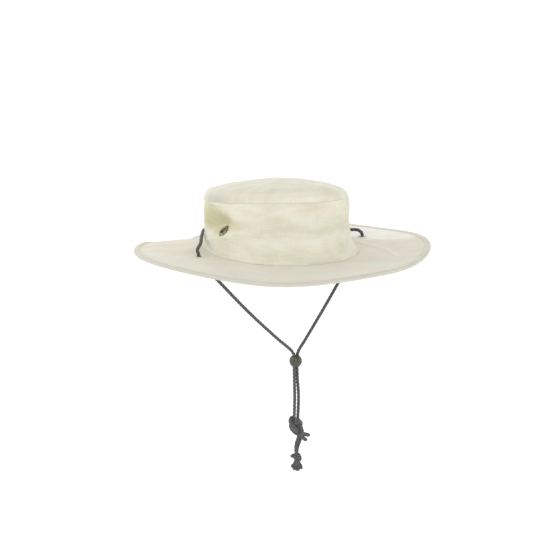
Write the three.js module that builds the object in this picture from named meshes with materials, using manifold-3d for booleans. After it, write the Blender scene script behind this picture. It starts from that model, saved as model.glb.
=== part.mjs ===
// A wide-brimmed cotton sun hat with a braided chin cord.
// Millimetres and degrees. +Z is up, -Y is the front of the hat, +X the wearer's left.
// The origin is the middle of the head opening, at the seam between crown and brim.
import * as THREE from 'three';
import { mergeVertices } from 'three/addons/utils/BufferGeometryUtils.js';
import Module from 'manifold-3d';

const wasm = await Module();
wasm.setup();

// ---- Driving dimensions ----
const gap = 0.3; // left between two pieces that touch
const seamGap = 0.5; // under the crown's edge, where the brim rises a little
const flangeGap = 0.7; // between an eyelet's flanges and the cloth that curves under them
const clothColumns = 64; // facets once round the hat

// The seam between crown and brim: an oval for a 58 cm head, that dips at the two sides.
const seam = { halfWidth: 86, halfLength: 100, tilt: 2, sideDip: 1 };

// The seam between the side of the crown and its top: a smaller oval, higher at the front.
const tipSeam = {
  halfWidth: 79.5,
  halfLength: 90.2,
  shiftX: -4.1,
  shiftY: 2.5,
  height: 56,
  tilt: 9,
  roll: 1.4,
  drop: 1.2, // how far the seam itself runs under that level
  dropMore: 0.8, // and how much lower still in one direction
  dropAngle: 325,
};

const crownCloth = 1.6; // thickness of the crown's cloth
const flareSharpness = 5; // how close to the brim the foot of the crown flares out

// Heights up the crown's side, as shares of the way from seam to seam.
const crownRows = [0, 0.07, 0.17, 0.28, 0.38, 0.46, 0.54, 0.62, 0.71, 0.84, 1];

// Dents (depth above zero) and swells (below zero) in the crown's side: where each is
// deepest, and how far it reaches round the crown in degrees and down and up it in mm.
const crownFolds = [
  { angle: 182, height: 34, spread: 13, below: 7, above: 12, depth: 13 },
  { angle: 206, height: 41, spread: 7, below: 9, above: 10, depth: -2.2 },
  { angle: 228, height: 30, spread: 12, below: 10, above: 12, depth: 1.6 },
  { angle: 252, height: 24, spread: 13, below: 9, above: 9, depth: -1.5 },
  { angle: 20, height: 34, spread: 14, below: 9, above: 12, depth: 4 },
  { angle: 100, height: 30, spread: 22, below: 10, above: 12, depth: 2.5 },
];

// The top of the crown, from its seam to its middle: reach is the share of the seam's oval,
// rise the height over the seam, lean how far that ring is pushed over to the wearer's left.
const tipProfile = [
  { reach: 1, rise: 0, lean: 0 },
  { reach: 0.975, rise: 3.8, lean: -1 },
  { reach: 0.945, rise: 6.9, lean: -2 },
  { reach: 0.91, rise: 9.8, lean: -3.6 },
  { reach: 0.76, rise: 14.5, lean: -6 },
  { reach: 0.4, rise: 19.6, lean: -3.5 },
  { reach: 0, rise: 22, lean: 0 },
];

// The brim's edge: a wide oval, and its height.
const brimEdge = {
  halfWidth: 163.5,
  halfLength: 178.8,
  shiftY: -0.2,
  level: 2.3,
  tilt: -9.9,
  sideLift: 1.2,
};
const brimCloth = 2.4; // two layers of cloth, stitched together
const brimRows = [0, 0.25, 0.6, 0.93, 1];

// Waves of the brim's edge: where each is highest, how far it spreads, and its rise.
const brimWaves = [
  { angle: 330, spread: 22, rise: 1.8 },
  { angle: 12, spread: 18, rise: -3.4 },
  { angle: 55, spread: 22, rise: 3.9 },
  { angle: 92, spread: 20, rise: -7.4 },
  { angle: 114, spread: 11, rise: -11.2 },
  { angle: 150, spread: 20, rise: -1.4 },
  { angle: 205, spread: 16, rise: -0.9 },
  { angle: 240, spread: 20, rise: -9.8 },
  { angle: 288, spread: 18, rise: -5.5 },
];

const binding = { reach: 5.5, cloth: 0.7 }; // folded tape over the brim's edge

// Brass vent eyelets in the side of the crown, as angle and share of the way up.
const ventEyelet = { bore: 3.4, barrel: 4.1, flange: 7.2, plate: 0.8, flat: 10, blend: 5 };
const ventPlaces = [
  { angle: 188.5, rise: 0.46 },
  { angle: 140, rise: 0.5 },
  { angle: 346, rise: 0.46 },
  { angle: 38, rise: 0.5 },
];

// Stitched eyelets in the brim, which the chin cord goes through.
const cordEyelet = { bore: 3.2, barrel: 3.9, flange: 6, plate: 0.7, flat: 8, blend: 6 };
const cordPlaces = [
  { name: 'cord_eyelet_right', x: -106, y: -8 },
  { name: 'cord_eyelet_left', x: 110, y: -8 },
];

// The chin cord and what is on it.
const cord = { diameter: 3.4, sides: 8, steps: 74 };
const bead = { x: 17, y: -8, z: -142, width: 15.2, height: 12.6, strandGap: 4.2 };
const knot = { x: 18.2, y: -8, z: -226.2, long: 12.2, short: 5.8, lean: 28, wrap: 2.8 };
const tailKnot = { x: 20.4, y: -8, z: -268.5, width: 5.4, height: 6.6 };
const socketGap = 0.35;

// One whole loop: from the big knot up through the bead to the brim on the wearer's right,
// round the back of the crown, and down again on the left.
const cordRoute = [
  [15.3, -8, -219.5], [15.9, -8, -188], [15.3, -8, -164], [14.9, -8, -149],
  [14.9, -8, -135], [12, -8, -129.2], [-10, -8, -108], [-46, -8, -71.6],
  [-79, -8, -35], [-98, -8, -13.5], [-105.4, -8, -5.2], [-106, -8, 0],
  [-107, -7.2, 4.4], [-106.4, -4.4, 7], [-102, 1.5, 9], [-93.6, 14, 10.6],
  [-84.6, 31.8, 12], [-77, 45.7, 13], [-67.1, 63, 13.4], [-47.6, 83.1, 13.6],
  [-18, 96.2, 13.6], [12, 96.4, 13.4], [41.2, 85.4, 12.8], [66, 62.5, 11.6],
  [90, 20, 9.2], [100, 3, 8], [106.6, -3, 7.9], [109.8, -7.2, 4.4],
  [110, -8, -0.8], [109.2, -8, -5.8], [103, -8, -14.5], [84, -8, -42],
  [57.6, -8, -80], [29.8, -8, -118], [21.4, -8, -129], [19.1, -8, -135.4],
  [19.1, -8, -149], [19.6, -8, -164], [21.4, -8, -188], [20.3, -8, -220.5],
];

// The two strands between the big knot and the tail knot.
const tailRoutes = [
  [[21, -9.2, -234.5], [20.2, -9.4, -241.5], [17.5, -9.5, -249], [16.8, -9.6, -257], [17.8, -9.6, -264]],
  [[26, -7, -236], [26, -6.8, -243], [23.8, -6.6, -250], [21.2, -6.5, -257], [20.3, -6.4, -264]],
];

// ---- Colours and finishes ----
const cotton = new THREE.MeshStandardMaterial({ color: 0xdedbc9, roughness: 0.92, metalness: 0 });
const tape = new THREE.MeshStandardMaterial({ color: 0xd6d3c0, roughness: 0.9, metalness: 0 });
const thread = new THREE.MeshStandardMaterial({ color: 0xe4e1d1, roughness: 0.85, metalness: 0 });
const brass = new THREE.MeshStandardMaterial({ color: 0x7e7761, roughness: 0.4, metalness: 1 });
const braid = new THREE.MeshStandardMaterial({ color: 0x4a4c4e, roughness: 0.85, metalness: 0 });
const horn = new THREE.MeshStandardMaterial({ color: 0x5a5b56, roughness: 0.45, metalness: 0 });

// ---- Small helpers ----
const radians = THREE.MathUtils.degToRad;
const lerp = THREE.MathUtils.lerp;

// Degrees from one direction to another, between -180 and 180.
function turnBetween(from, to) {
  return THREE.MathUtils.euclideanModulo(to - from + 180, 360) - 180;
}

// A bell: 1 at zero, and 0.6 one spread away.
function bell(distance, spread) {
  return Math.exp(-0.5 * (distance / spread) ** 2);
}

// A geometry with shared vertices only, its faces turned outwards.
function closed(geometry) {
  geometry.deleteAttribute('normal');
  geometry.deleteAttribute('uv');
  const merged = mergeVertices(geometry, 1e-4);
  const place = merged.getAttribute('position');
  const corners = [...merged.index.array];
  const [a, b, c] = [new THREE.Vector3(), new THREE.Vector3(), new THREE.Vector3()];
  let volume = 0;
  for (let i = 0; i < corners.length; i += 3) {
    a.fromBufferAttribute(place, corners[i]);
    b.fromBufferAttribute(place, corners[i + 1]);
    c.fromBufferAttribute(place, corners[i + 2]);
    volume += a.dot(b.cross(c));
  }
  if (volume < 0) {
    corners.reverse();
  }
  merged.setIndex(corners);
  return merged;
}

function toSolid(geometry) {
  const merged = closed(geometry);
  const vertProperties = new Float32Array(merged.getAttribute('position').array);
  const triVerts = new Uint32Array(merged.index.array);
  return new wasm.Manifold(new wasm.Mesh({ numProp: 3, vertProperties, triVerts }));
}

function fromSolid(solid) {
  const mesh = solid.getMesh();
  const geometry = new THREE.BufferGeometry();
  geometry.setAttribute('position', new THREE.BufferAttribute(mesh.vertProperties, 3));
  geometry.setIndex([...mesh.triVerts]);
  return geometry;
}

// ---- Cloth ----

// The outward direction of a surface that is given as a point for each angle and share.
function surfaceNormal(surface, angle, share) {
  const turn = 0.5;
  const step = 0.01;
  const low = Math.max(share - step, 0);
  const high = Math.min(share + step, 1);
  const round = surface(angle + turn, share).sub(surface(angle - turn, share));
  const up = surface(angle, high).sub(surface(angle, low));
  return round.cross(up).normalize();
}

// A closed cloth shell: the outer surface, the same surface set in by the cloth's thickness,
// and the rims between them. A level rim takes its thickness level; a domed shell ends in a
// point at its last row, where the cloth is thick straight down.
function clothShell(surface, rows, thickness, { levelRims = false, domed = false } = {}) {
  const vertices = [];
  const faces = [];
  const lastRow = rows.length - 1;
  const ringCount = domed ? lastRow : rows.length;
  for (const side of [0, 1]) {
    for (let row = 0; row < ringCount; row += 1) {
      for (let column = 0; column < clothColumns; column += 1) {
        const angle = column * 360 / clothColumns;
        const point = surface(angle, rows[row]);
        const outward = surfaceNormal(surface, angle, rows[row]);
        if (levelRims && (row === 0 || row === lastRow)) {
          outward.setZ(0).normalize();
        }
        vertices.push(...point.addScaledVector(outward, -thickness * side));
      }
    }
  }
  const at = (side, row, column) => (side * ringCount + row) * clothColumns + column % clothColumns;
  const quad = (a, b, c, d) => faces.push(a, b, c, a, c, d);
  for (let column = 0; column < clothColumns; column += 1) {
    const next = column + 1;
    for (let row = 0; row < ringCount - 1; row += 1) {
      quad(at(0, row, column), at(0, row, next), at(0, row + 1, next), at(0, row + 1, column));
      quad(at(1, row + 1, column), at(1, row + 1, next), at(1, row, next), at(1, row, column));
    }
    quad(at(1, 0, column), at(1, 0, next), at(0, 0, next), at(0, 0, column));
    if (!domed) {
      quad(at(0, lastRow, column), at(0, lastRow, next), at(1, lastRow, next), at(1, lastRow, column));
    }
  }
  if (domed) {
    const middle = surface(0, 1);
    const top = vertices.length / 3;
    vertices.push(middle.x, middle.y, middle.z, middle.x, middle.y, middle.z - thickness);
    for (let column = 0; column < clothColumns; column += 1) {
      faces.push(at(0, lastRow - 1, column), at(0, lastRow - 1, column + 1), top);
      faces.push(at(1, lastRow - 1, column + 1), at(1, lastRow - 1, column), top + 1);
    }
  }
  const geometry = new THREE.BufferGeometry();
  geometry.setAttribute('position', new THREE.Float32BufferAttribute(vertices, 3));
  geometry.setIndex(faces);
  return geometry;
}

// The cloth lies flat under an eyelet and eases back to its own shape round it.
function flattened(point, seats, eyelet) {
  for (const seat of seats) {
    const offset = point.clone().sub(seat.centre);
    const height = offset.dot(seat.normal);
    const lift = THREE.MathUtils.smoothstep(offset.length(), eyelet.flat, eyelet.flat + eyelet.blend);
    point.addScaledVector(seat.normal, height * (lift - 1));
  }
  return point;
}

// ---- Crown ----
function seamPoint(angle) {
  const turn = radians(angle);
  const height = seam.tilt * Math.sin(turn) - seam.sideDip * Math.cos(2 * turn);
  return new THREE.Vector3(seam.halfWidth * Math.cos(turn), seam.halfLength * Math.sin(turn), height);
}

function tipHeight(x, y) {
  const back = (y - tipSeam.shiftY) / tipSeam.halfLength;
  const left = (x - tipSeam.shiftX) / tipSeam.halfWidth;
  return tipSeam.height - tipSeam.tilt * back - tipSeam.roll * left;
}

function tipPoint(angle, reach = 1, lean = 0) {
  const turn = radians(angle);
  const x = tipSeam.shiftX + tipSeam.halfWidth * Math.cos(turn) * reach + lean;
  const y = tipSeam.shiftY + tipSeam.halfLength * Math.sin(turn) * reach;
  return new THREE.Vector3(x, y, tipHeight(x, y));
}

// How far the top's seam runs under the level of the top's oval.
function tipSeamDrop(angle) {
  return tipSeam.drop + tipSeam.dropMore * Math.cos(radians(angle - tipSeam.dropAngle));
}

function foldedSide(angle, share) {
  const foot = seamPoint(angle);
  const head = tipPoint(angle);
  head.z -= tipSeamDrop(angle);
  const inward = 1 - (1 - share) ** flareSharpness;
  const height = lerp(foot.z + seamGap, head.z - gap / 2, share);
  const outward = new THREE.Vector3(Math.cos(radians(angle)), Math.sin(radians(angle)), 0);
  let depth = 0;
  for (const fold of crownFolds) {
    const reach = height < fold.height ? fold.below : fold.above;
    const round = bell(turnBetween(fold.angle, angle), fold.spread);
    depth += fold.depth * round * bell(height - fold.height, reach);
  }
  const fading = Math.min(1, 12 * share * (1 - share));
  const point = new THREE.Vector3(lerp(foot.x, head.x, inward), lerp(foot.y, head.y, inward), height);
  return point.addScaledVector(outward, -depth * fading);
}

const ventSeats = ventPlaces.map(({ angle, rise }) => ({
  centre: foldedSide(angle, rise),
  normal: surfaceNormal(foldedSide, angle, rise),
}));

function crownSide(angle, share) {
  return flattened(foldedSide(angle, share), ventSeats, ventEyelet);
}

function crownTop(angle, share) {
  const place = share * (tipProfile.length - 1);
  const row = Math.min(Math.floor(place), tipProfile.length - 2);
  const [below, above] = [tipProfile[row], tipProfile[row + 1]];
  const between = (measure) => lerp(below[measure], above[measure], place - row);
  const point = tipPoint(angle, between('reach'), between('lean'));
  const drop = tipSeamDrop(angle) * Math.max(0, 1 - place);
  return point.setZ(point.z + gap / 2 + between('rise') - drop);
}

// ---- Brim ----
function brimInnerPoint(angle) {
  const normal = new THREE.Vector3(
    Math.cos(radians(angle)) / seam.halfWidth,
    Math.sin(radians(angle)) / seam.halfLength,
    0,
  ).normalize();
  return seamPoint(angle).addScaledVector(normal, -crownCloth);
}

function brimEdgePoint(angle) {
  const turn = radians(angle);
  let height = brimEdge.level + brimEdge.tilt * Math.sin(turn) + brimEdge.sideLift * Math.cos(2 * turn);
  for (const wave of brimWaves) {
    height += wave.rise * bell(turnBetween(wave.angle, angle), wave.spread);
  }
  return new THREE.Vector3(
    brimEdge.halfWidth * Math.cos(turn),
    brimEdge.halfLength * Math.sin(turn) + brimEdge.shiftY,
    height,
  );
}

// The top of the brim, from its edge (0) to the crown (1).
function wavedBrim(angle, share) {
  return brimEdgePoint(angle).lerp(brimInnerPoint(angle), share);
}

// The place on the brim's top straight over or under x, y.
function brimSpot(x, y) {
  const bearing = (px, py) => THREE.MathUtils.radToDeg(Math.atan2(py, px));
  let angle = bearing(x, y);
  let share = 0.7;
  for (let pass = 0; pass < 30; pass += 1) {
    const point = wavedBrim(angle, share);
    angle += turnBetween(bearing(point.x, point.y), bearing(x, y));
    share += (Math.hypot(point.x, point.y) - Math.hypot(x, y)) / 80;
  }
  return { centre: wavedBrim(angle, share), normal: surfaceNormal(wavedBrim, angle, share) };
}

const cordSeats = cordPlaces.map(({ x, y }) => brimSpot(x, y));

function brimTop(angle, share) {
  return flattened(wavedBrim(angle, share), cordSeats, cordEyelet);
}

// ---- Pieces ----
const hat = new THREE.Group();

function addPiece(name, geometry, material) {
  const piece = new THREE.Mesh(geometry, material);
  piece.name = name;
  hat.add(piece);
  return piece;
}

// A spool that clamps cloth between two flanges, turned about Z, the cloth's top at zero.
function spool(eyelet, clothThickness) {
  const [bore, barrel, flange, plate] = [eyelet.bore, eyelet.barrel, eyelet.flange, eyelet.plate];
  const upper = flangeGap;
  const lower = -clothThickness - flangeGap;
  const profile = [
    [bore, lower - plate], [flange, lower - plate], [flange, lower], [barrel, lower],
    [barrel, upper], [flange, upper], [flange - 0.8, upper + plate], [bore, upper + plate],
    [bore, lower - plate],
  ].map(([radius, height]) => new THREE.Vector2(radius, height));
  return new THREE.LatheGeometry(profile, 12).rotateX(Math.PI / 2);
}

// Turns something made about Z to stand in a seat.
function seated(geometry, seat) {
  const turn = new THREE.Quaternion().setFromUnitVectors(new THREE.Vector3(0, 0, 1), seat.normal);
  geometry.applyQuaternion(turn);
  return geometry.translate(seat.centre.x, seat.centre.y, seat.centre.z);
}

// The hole through cloth at a seat, a gap wider than the barrel that goes through it.
function seatHole(seat, eyelet, clothThickness) {
  const radius = eyelet.barrel + gap;
  const drill = new THREE.CylinderGeometry(radius, radius, clothThickness + 2, 12);
  return toSolid(seated(drill.rotateX(Math.PI / 2).translate(0, 0, -clothThickness / 2), seat));
}

let side = toSolid(clothShell(crownSide, crownRows, crownCloth, { levelRims: true }));
for (const seat of ventSeats) {
  side = side.subtract(seatHole(seat, ventEyelet, crownCloth));
}
addPiece('crown_side', fromSolid(side), cotton);

const tipRows = tipProfile.map((row, index) => index / (tipProfile.length - 1));
const tip = clothShell(crownTop, tipRows, crownCloth, { levelRims: true, domed: true });
addPiece('crown_tip', tip, cotton);

let brim = toSolid(clothShell(brimTop, brimRows, brimCloth));
for (const seat of cordSeats) {
  brim = brim.subtract(seatHole(seat, cordEyelet, brimCloth));
}
addPiece('brim', fromSolid(brim), cotton);

// The tape's section, out from the brim's edge and up from the middle of its thickness.
function bindingGeometry() {
  const inner = brimCloth / 2 + gap;
  const outer = inner + binding.cloth;
  const section = [
    [-binding.reach, outer], [binding.cloth, outer], [gap + binding.cloth, 0],
    [binding.cloth, -outer], [-binding.reach, -outer], [-binding.reach, -inner],
    [gap, -inner], [gap, inner], [-binding.reach, inner],
  ];
  const vertices = [];
  const faces = [];
  for (let column = 0; column < clothColumns; column += 1) {
    const angle = column * 360 / clothColumns;
    const edge = brimTop(angle, 0);
    const up = surfaceNormal(brimTop, angle, 0);
    const along = brimTop(angle + 0.5, 0).sub(brimTop(angle - 0.5, 0)).normalize();
    const out = along.cross(up).normalize();
    for (const [reach, height] of section) {
      const point = edge.clone().addScaledVector(out, reach);
      vertices.push(...point.addScaledVector(up, height - brimCloth / 2));
    }
    for (let corner = 0; corner < section.length; corner += 1) {
      const next = (corner + 1) % section.length;
      const here = column * section.length;
      const there = ((column + 1) % clothColumns) * section.length;
      faces.push(here + corner, there + corner, there + next);
      faces.push(here + corner, there + next, here + next);
    }
  }
  const geometry = new THREE.BufferGeometry();
  geometry.setAttribute('position', new THREE.Float32BufferAttribute(vertices, 3));
  geometry.setIndex(faces);
  return closed(geometry);
}
addPiece('brim_binding', bindingGeometry(), tape);

ventSeats.forEach((seat, index) => {
  addPiece(`vent_eyelet_${index + 1}`, closed(seated(spool(ventEyelet, crownCloth), seat)), brass);
});

cordSeats.forEach((seat, index) => {
  addPiece(cordPlaces[index].name, closed(seated(spool(cordEyelet, brimCloth), seat)), thread);
});

// A round tube along a route.
function tube(route, radius, steps, sides = cord.sides) {
  const points = route.map((point) => new THREE.Vector3(...point));
  const ring = [];
  for (let corner = 0; corner < sides; corner += 1) {
    const turn = (corner + 0.5) * 2 * Math.PI / sides;
    ring.push(new THREE.Vector2(radius * Math.cos(turn), radius * Math.sin(turn)));
  }
  const extrudePath = new THREE.CatmullRomCurve3(points, false, 'centripetal');
  extrudePath.getUtoTmapping = (share) => share; // steps follow the points, which lie close at bends
  return new THREE.ExtrudeGeometry(new THREE.Shape(ring), { steps, extrudePath, bevelEnabled: false });
}

addPiece('chin_cord', closed(tube(cordRoute, cord.diameter / 2, cord.steps)), braid);
tailRoutes.forEach((route, index) => {
  addPiece(`tail_cord_${index + 1}`, closed(tube(route, cord.diameter / 2, 6)), braid);
});

// The bead: a barrel with one oblong hole for both strands.
function beadSolid() {
  const half = bead.height / 2;
  const profile = [
    [0, -half], [bead.width * 0.31, -half], [bead.width * 0.44, -half * 0.68], [bead.width * 0.5, 0],
    [bead.width * 0.44, half * 0.68], [bead.width * 0.31, half], [0, half],
  ].map(([radius, height]) => new THREE.Vector2(radius, height));
  const barrel = new THREE.LatheGeometry(profile, 16).rotateX(Math.PI / 2);
  const holeRadius = cord.diameter / 2 + socketGap;
  const hole = new THREE.Shape();
  hole.absarc(bead.strandGap / 2, 0, holeRadius, -Math.PI / 2, Math.PI / 2);
  hole.absarc(-bead.strandGap / 2, 0, holeRadius, Math.PI / 2, Math.PI * 1.5);
  const depth = bead.height + 2;
  const slot = new THREE.ExtrudeGeometry(hole, { depth, bevelEnabled: false, curveSegments: 5 });
  slot.translate(0, 0, -depth / 2);
  return fromSolid(toSolid(barrel).subtract(toSolid(slot))).translate(bead.x, bead.y, bead.z);
}
addPiece('cord_bead', beadSolid(), horn);

// A point moved on a little past the end of a route, away from its neighbour.
function pastEnd([x, y, z], neighbour) {
  const step = new THREE.Vector3(x - neighbour[0], y - neighbour[1], z - neighbour[2]).setLength(0.6);
  return [x + step.x, y + step.y, z + step.z];
}

// What the ends of strands leave free inside a knot that they go into.
function strandRoom(routes) {
  return routes.map((route) => {
    const last = route.length - 1;
    const ends = [pastEnd(route[0], route[1]), pastEnd(route[last], route[last - 1])];
    const longer = [ends[0], ...route.slice(1, -1), ends[1]];
    return toSolid(tube(longer, cord.diameter / 2 + socketGap, 6));
  });
}
const lowerLeft = cordRoute.slice(0, 3);
const lowerRight = cordRoute.slice(-3);

// The big knot: doubled cord in three crossing turns round a slanting line, with two cut stubs.
function knotSolid() {
  const [down, across] = [Math.cos(radians(knot.lean)), Math.sin(radians(knot.lean))];
  const turns = [];
  for (let step = 0; step <= 20; step += 1) {
    const turn = step * 4 * Math.PI / 20 + 0.35;
    const reach = 0.72 + 0.3 * Math.cos(1.5 * turn);
    const along = knot.long * reach * Math.sin(turn);
    const aside = knot.short * reach * Math.cos(turn);
    turns.push([
      knot.x + along * across + aside * down,
      knot.y + 4.2 * Math.sin(1.5 * turn),
      knot.z - along * down + aside * across,
    ]);
  }
  const stubs = [
    [[20, -10, -233], [29, -10, -239], [37, -10, -242.5]],
    [[21, -11, -235], [26.5, -11, -243], [32.6, -11, -247.4]],
  ];
  const core = new THREE.SphereGeometry(1, 10, 8).scale(6.8, 5.8, 12.4);
  core.rotateY(radians(-knot.lean)).translate(knot.x, knot.y, knot.z);
  let solid = toSolid(core).add(toSolid(tube(turns, knot.wrap, 20, 6)));
  for (const stub of stubs) {
    solid = solid.add(toSolid(tube(stub, 1.9, 3)));
  }
  for (const room of strandRoom([lowerLeft, lowerRight, ...tailRoutes])) {
    solid = solid.subtract(room);
  }
  return fromSolid(solid);
}
addPiece('cord_knot', knotSolid(), braid);

// The tail knot, with a cut stub, and the frayed ends under it as tapered locks.
function tailKnotSolid() {
  const { x, y, z, width, height } = tailKnot;
  const body = new THREE.SphereGeometry(1, 10, 6).scale(width, width * 0.9, height);
  let solid = toSolid(body.translate(x, y, z));
  const stub = [[x - 1, y, z + 1.5], [x - 5.5, y - 1, z + 4], [x - 10, y - 1.5, z + 4.2]];
  solid = solid.add(toSolid(tube(stub, 1.9, 3, 6)));
  const lockCount = 6;
  for (let index = 0; index < lockCount; index += 1) {
    const turn = index * 2 * Math.PI / lockCount;
    const drop = index % 2 === 0 ? 17.5 : 15;
    const lock = [
      [x + 1.5 * Math.cos(turn), y + 1.5 * Math.sin(turn), z - 3],
      [x - 0.6 + 3.2 * Math.cos(turn), y + 3 * Math.sin(turn), z - 10],
      [x - 1.2 + 6.2 * Math.cos(turn), y + 5 * Math.sin(turn), z - drop],
    ];
    solid = solid.add(toSolid(tube(lock, 2, 2, 5)));
  }
  for (const room of strandRoom(tailRoutes)) {
    solid = solid.subtract(room);
  }
  return fromSolid(solid);
}
addPiece('tail_knot', tailKnotSolid(), braid);

export default hat;
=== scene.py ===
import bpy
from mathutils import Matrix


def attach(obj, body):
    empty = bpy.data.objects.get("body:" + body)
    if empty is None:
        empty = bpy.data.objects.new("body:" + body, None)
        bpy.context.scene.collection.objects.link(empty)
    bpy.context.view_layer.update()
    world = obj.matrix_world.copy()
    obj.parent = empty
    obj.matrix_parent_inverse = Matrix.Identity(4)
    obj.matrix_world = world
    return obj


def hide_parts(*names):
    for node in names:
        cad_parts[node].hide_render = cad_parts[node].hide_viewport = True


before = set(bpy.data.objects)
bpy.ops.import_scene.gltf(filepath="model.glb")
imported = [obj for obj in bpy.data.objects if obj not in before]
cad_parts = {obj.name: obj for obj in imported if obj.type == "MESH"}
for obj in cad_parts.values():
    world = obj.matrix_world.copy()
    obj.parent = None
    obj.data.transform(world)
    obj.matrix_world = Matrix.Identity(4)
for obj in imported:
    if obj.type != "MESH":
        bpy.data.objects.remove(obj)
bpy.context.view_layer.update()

import math

import bpy
import numpy as np
from mathutils import Vector

# Shapes are worked out in millimetres, and become metres as each mesh is made.
# +Z is up, -Y is the front of the hat and +X is the wearer's left.
mm = 0.001


def toLinear(hexColour):
    # sRGB hex to linear RGBA
    values = [int(hexColour[i:i + 2], 16) / 255 for i in (0, 2, 4)]
    return (*[v / 12.92 if v <= 0.04045 else ((v + 0.055) / 1.055) ** 2.4 for v in values], 1)


def addNode(tree, kind, inputs=None, **settings):
    # one node with its settings; an input is a value or another node's output
    node = tree.nodes.new(kind)
    for name, value in settings.items():
        setattr(node, name, value)
    for socket, value in (inputs or {}).items():
        if isinstance(value, bpy.types.NodeSocket):
            tree.links.new(value, node.inputs[socket])
        else:
            node.inputs[socket].default_value = value
    return node


def newMaterial(name):
    material = bpy.data.materials.new(name)
    material.use_nodes = True
    tree = material.node_tree
    tree.nodes.clear()
    shader = addNode(tree, "ShaderNodeBsdfPrincipled")
    addNode(tree, "ShaderNodeOutputMaterial", {"Surface": shader.outputs[0]})
    return material, tree, shader


def addPiece(name, mesh, material):
    if not mesh.materials:
        mesh.materials.append(material)
    mesh.name = name
    piece = bpy.data.objects.new(name, mesh)
    bpy.context.scene.collection.objects.link(piece)
    return piece


# The camera: a long lens a metre away, a little above the brim and to the wearer's right.
view = {"distance": 1000, "azimuth": -30, "elevation": 12.3, "pitch": 14.6, "lens": 55.64}

turn, rise = math.radians(view["azimuth"]), math.radians(view["elevation"])
cameraData = bpy.data.cameras.new("camera")
cameraData.lens = view["lens"]
cameraData.sensor_width = 36
cameraData.clip_start = 0.01
camera = bpy.data.objects.new("camera", cameraData)
direction = Vector((math.sin(turn) * math.cos(rise), -math.cos(turn) * math.cos(rise), math.sin(rise)))
camera.location = direction * view["distance"] * mm
camera.rotation_euler = (math.radians(90 - view["pitch"]), 0, turn)
bpy.context.scene.collection.objects.link(camera)
bpy.context.scene.camera = camera
bpy.context.scene.view_settings.view_transform = "Standard"

# A bright soft studio: white walls all round, a dimmer ceiling, and weak panels to the front left,
# the front, the back and the back left.
studio = {
    "wallLight": 1.6,
    "ceilingLight": 0.49,
    "floorHeight": -1.0,
    "floorSize": 80,
    "floorGlow": 0.25,
    "panels": [
        # place, size, watts
        ((-1.9, -1.3, 1.6), 1.2, 5),
        ((0.9, -2.2, 0.5), 1.4, 5),
        ((0.9, 1.9, 1.1), 1.5, 11),
        ((-1.5, 1.5, 1.0), 1.5, 10),
    ],
}
world = bpy.data.worlds.new("studio")
bpy.context.scene.world = world
world.use_nodes = True
backdrop = world.node_tree.nodes["Background"]
backdrop.inputs["Color"].default_value = toLinear("ffffff")
heading = addNode(world.node_tree, "ShaderNodeTexCoord")
headingParts = addNode(world.node_tree, "ShaderNodeSeparateXYZ", {0: heading.outputs["Generated"]})
glow = addNode(world.node_tree, "ShaderNodeMapRange", {
    "Value": headingParts.outputs[2], "To Min": studio["wallLight"], "To Max": studio["ceilingLight"],
})
world.node_tree.links.new(glow.outputs[0], backdrop.inputs["Strength"])

for index, (place, size, power) in enumerate(studio["panels"]):
    panel = bpy.data.lights.new(f"panel{index + 1}", "AREA")
    panel.shape = "SQUARE"
    panel.size = size
    panel.energy = power
    lamp = bpy.data.objects.new(panel.name, panel)
    lamp.location = place
    lamp.rotation_euler = (-Vector(place)).to_track_quat("-Z", "Y").to_euler()
    bpy.context.scene.collection.objects.link(lamp)

# Opal acrylic, lit a little from below: an even white ground with no gloss.
opalAcrylic, tree, shader = newMaterial("opalAcrylic")
grain = addNode(tree, "ShaderNodeTexNoise", {"Scale": 40.0})
tint = addNode(tree, "ShaderNodeMix",
               {"Factor": grain.outputs[0], 6: toLinear("f6f6f5"), 7: toLinear("fafaf9")}, data_type="RGBA")
tree.links.new(tint.outputs[2], shader.inputs["Base Color"])
shader.inputs["Roughness"].default_value = 0.95
shader.inputs["Emission Color"].default_value = toLinear("ffffff")
shader.inputs["Emission Strength"].default_value = studio["floorGlow"]

half, low = studio["floorSize"] / 2, studio["floorHeight"]
floorMesh = bpy.data.meshes.new("floor")
floorCorners = [(-half, -half, low), (half, -half, low), (half, half, low), (-half, half, low)]
floorMesh.from_pydata(floorCorners, [], [(0, 1, 2, 3)])
addPiece("floor", floorMesh, opalAcrylic)
print("camera, lights and floor made")


def unit(vectors):
    return vectors / np.linalg.norm(vectors, axis=-1, keepdims=True)


def runAlong(points):
    # how far each row of points lies from the first, along its own column
    steps = np.linalg.norm(np.diff(points, axis=0), axis=-1)
    return np.concatenate([np.zeros_like(steps[:1]), np.cumsum(steps, axis=0)])


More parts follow.
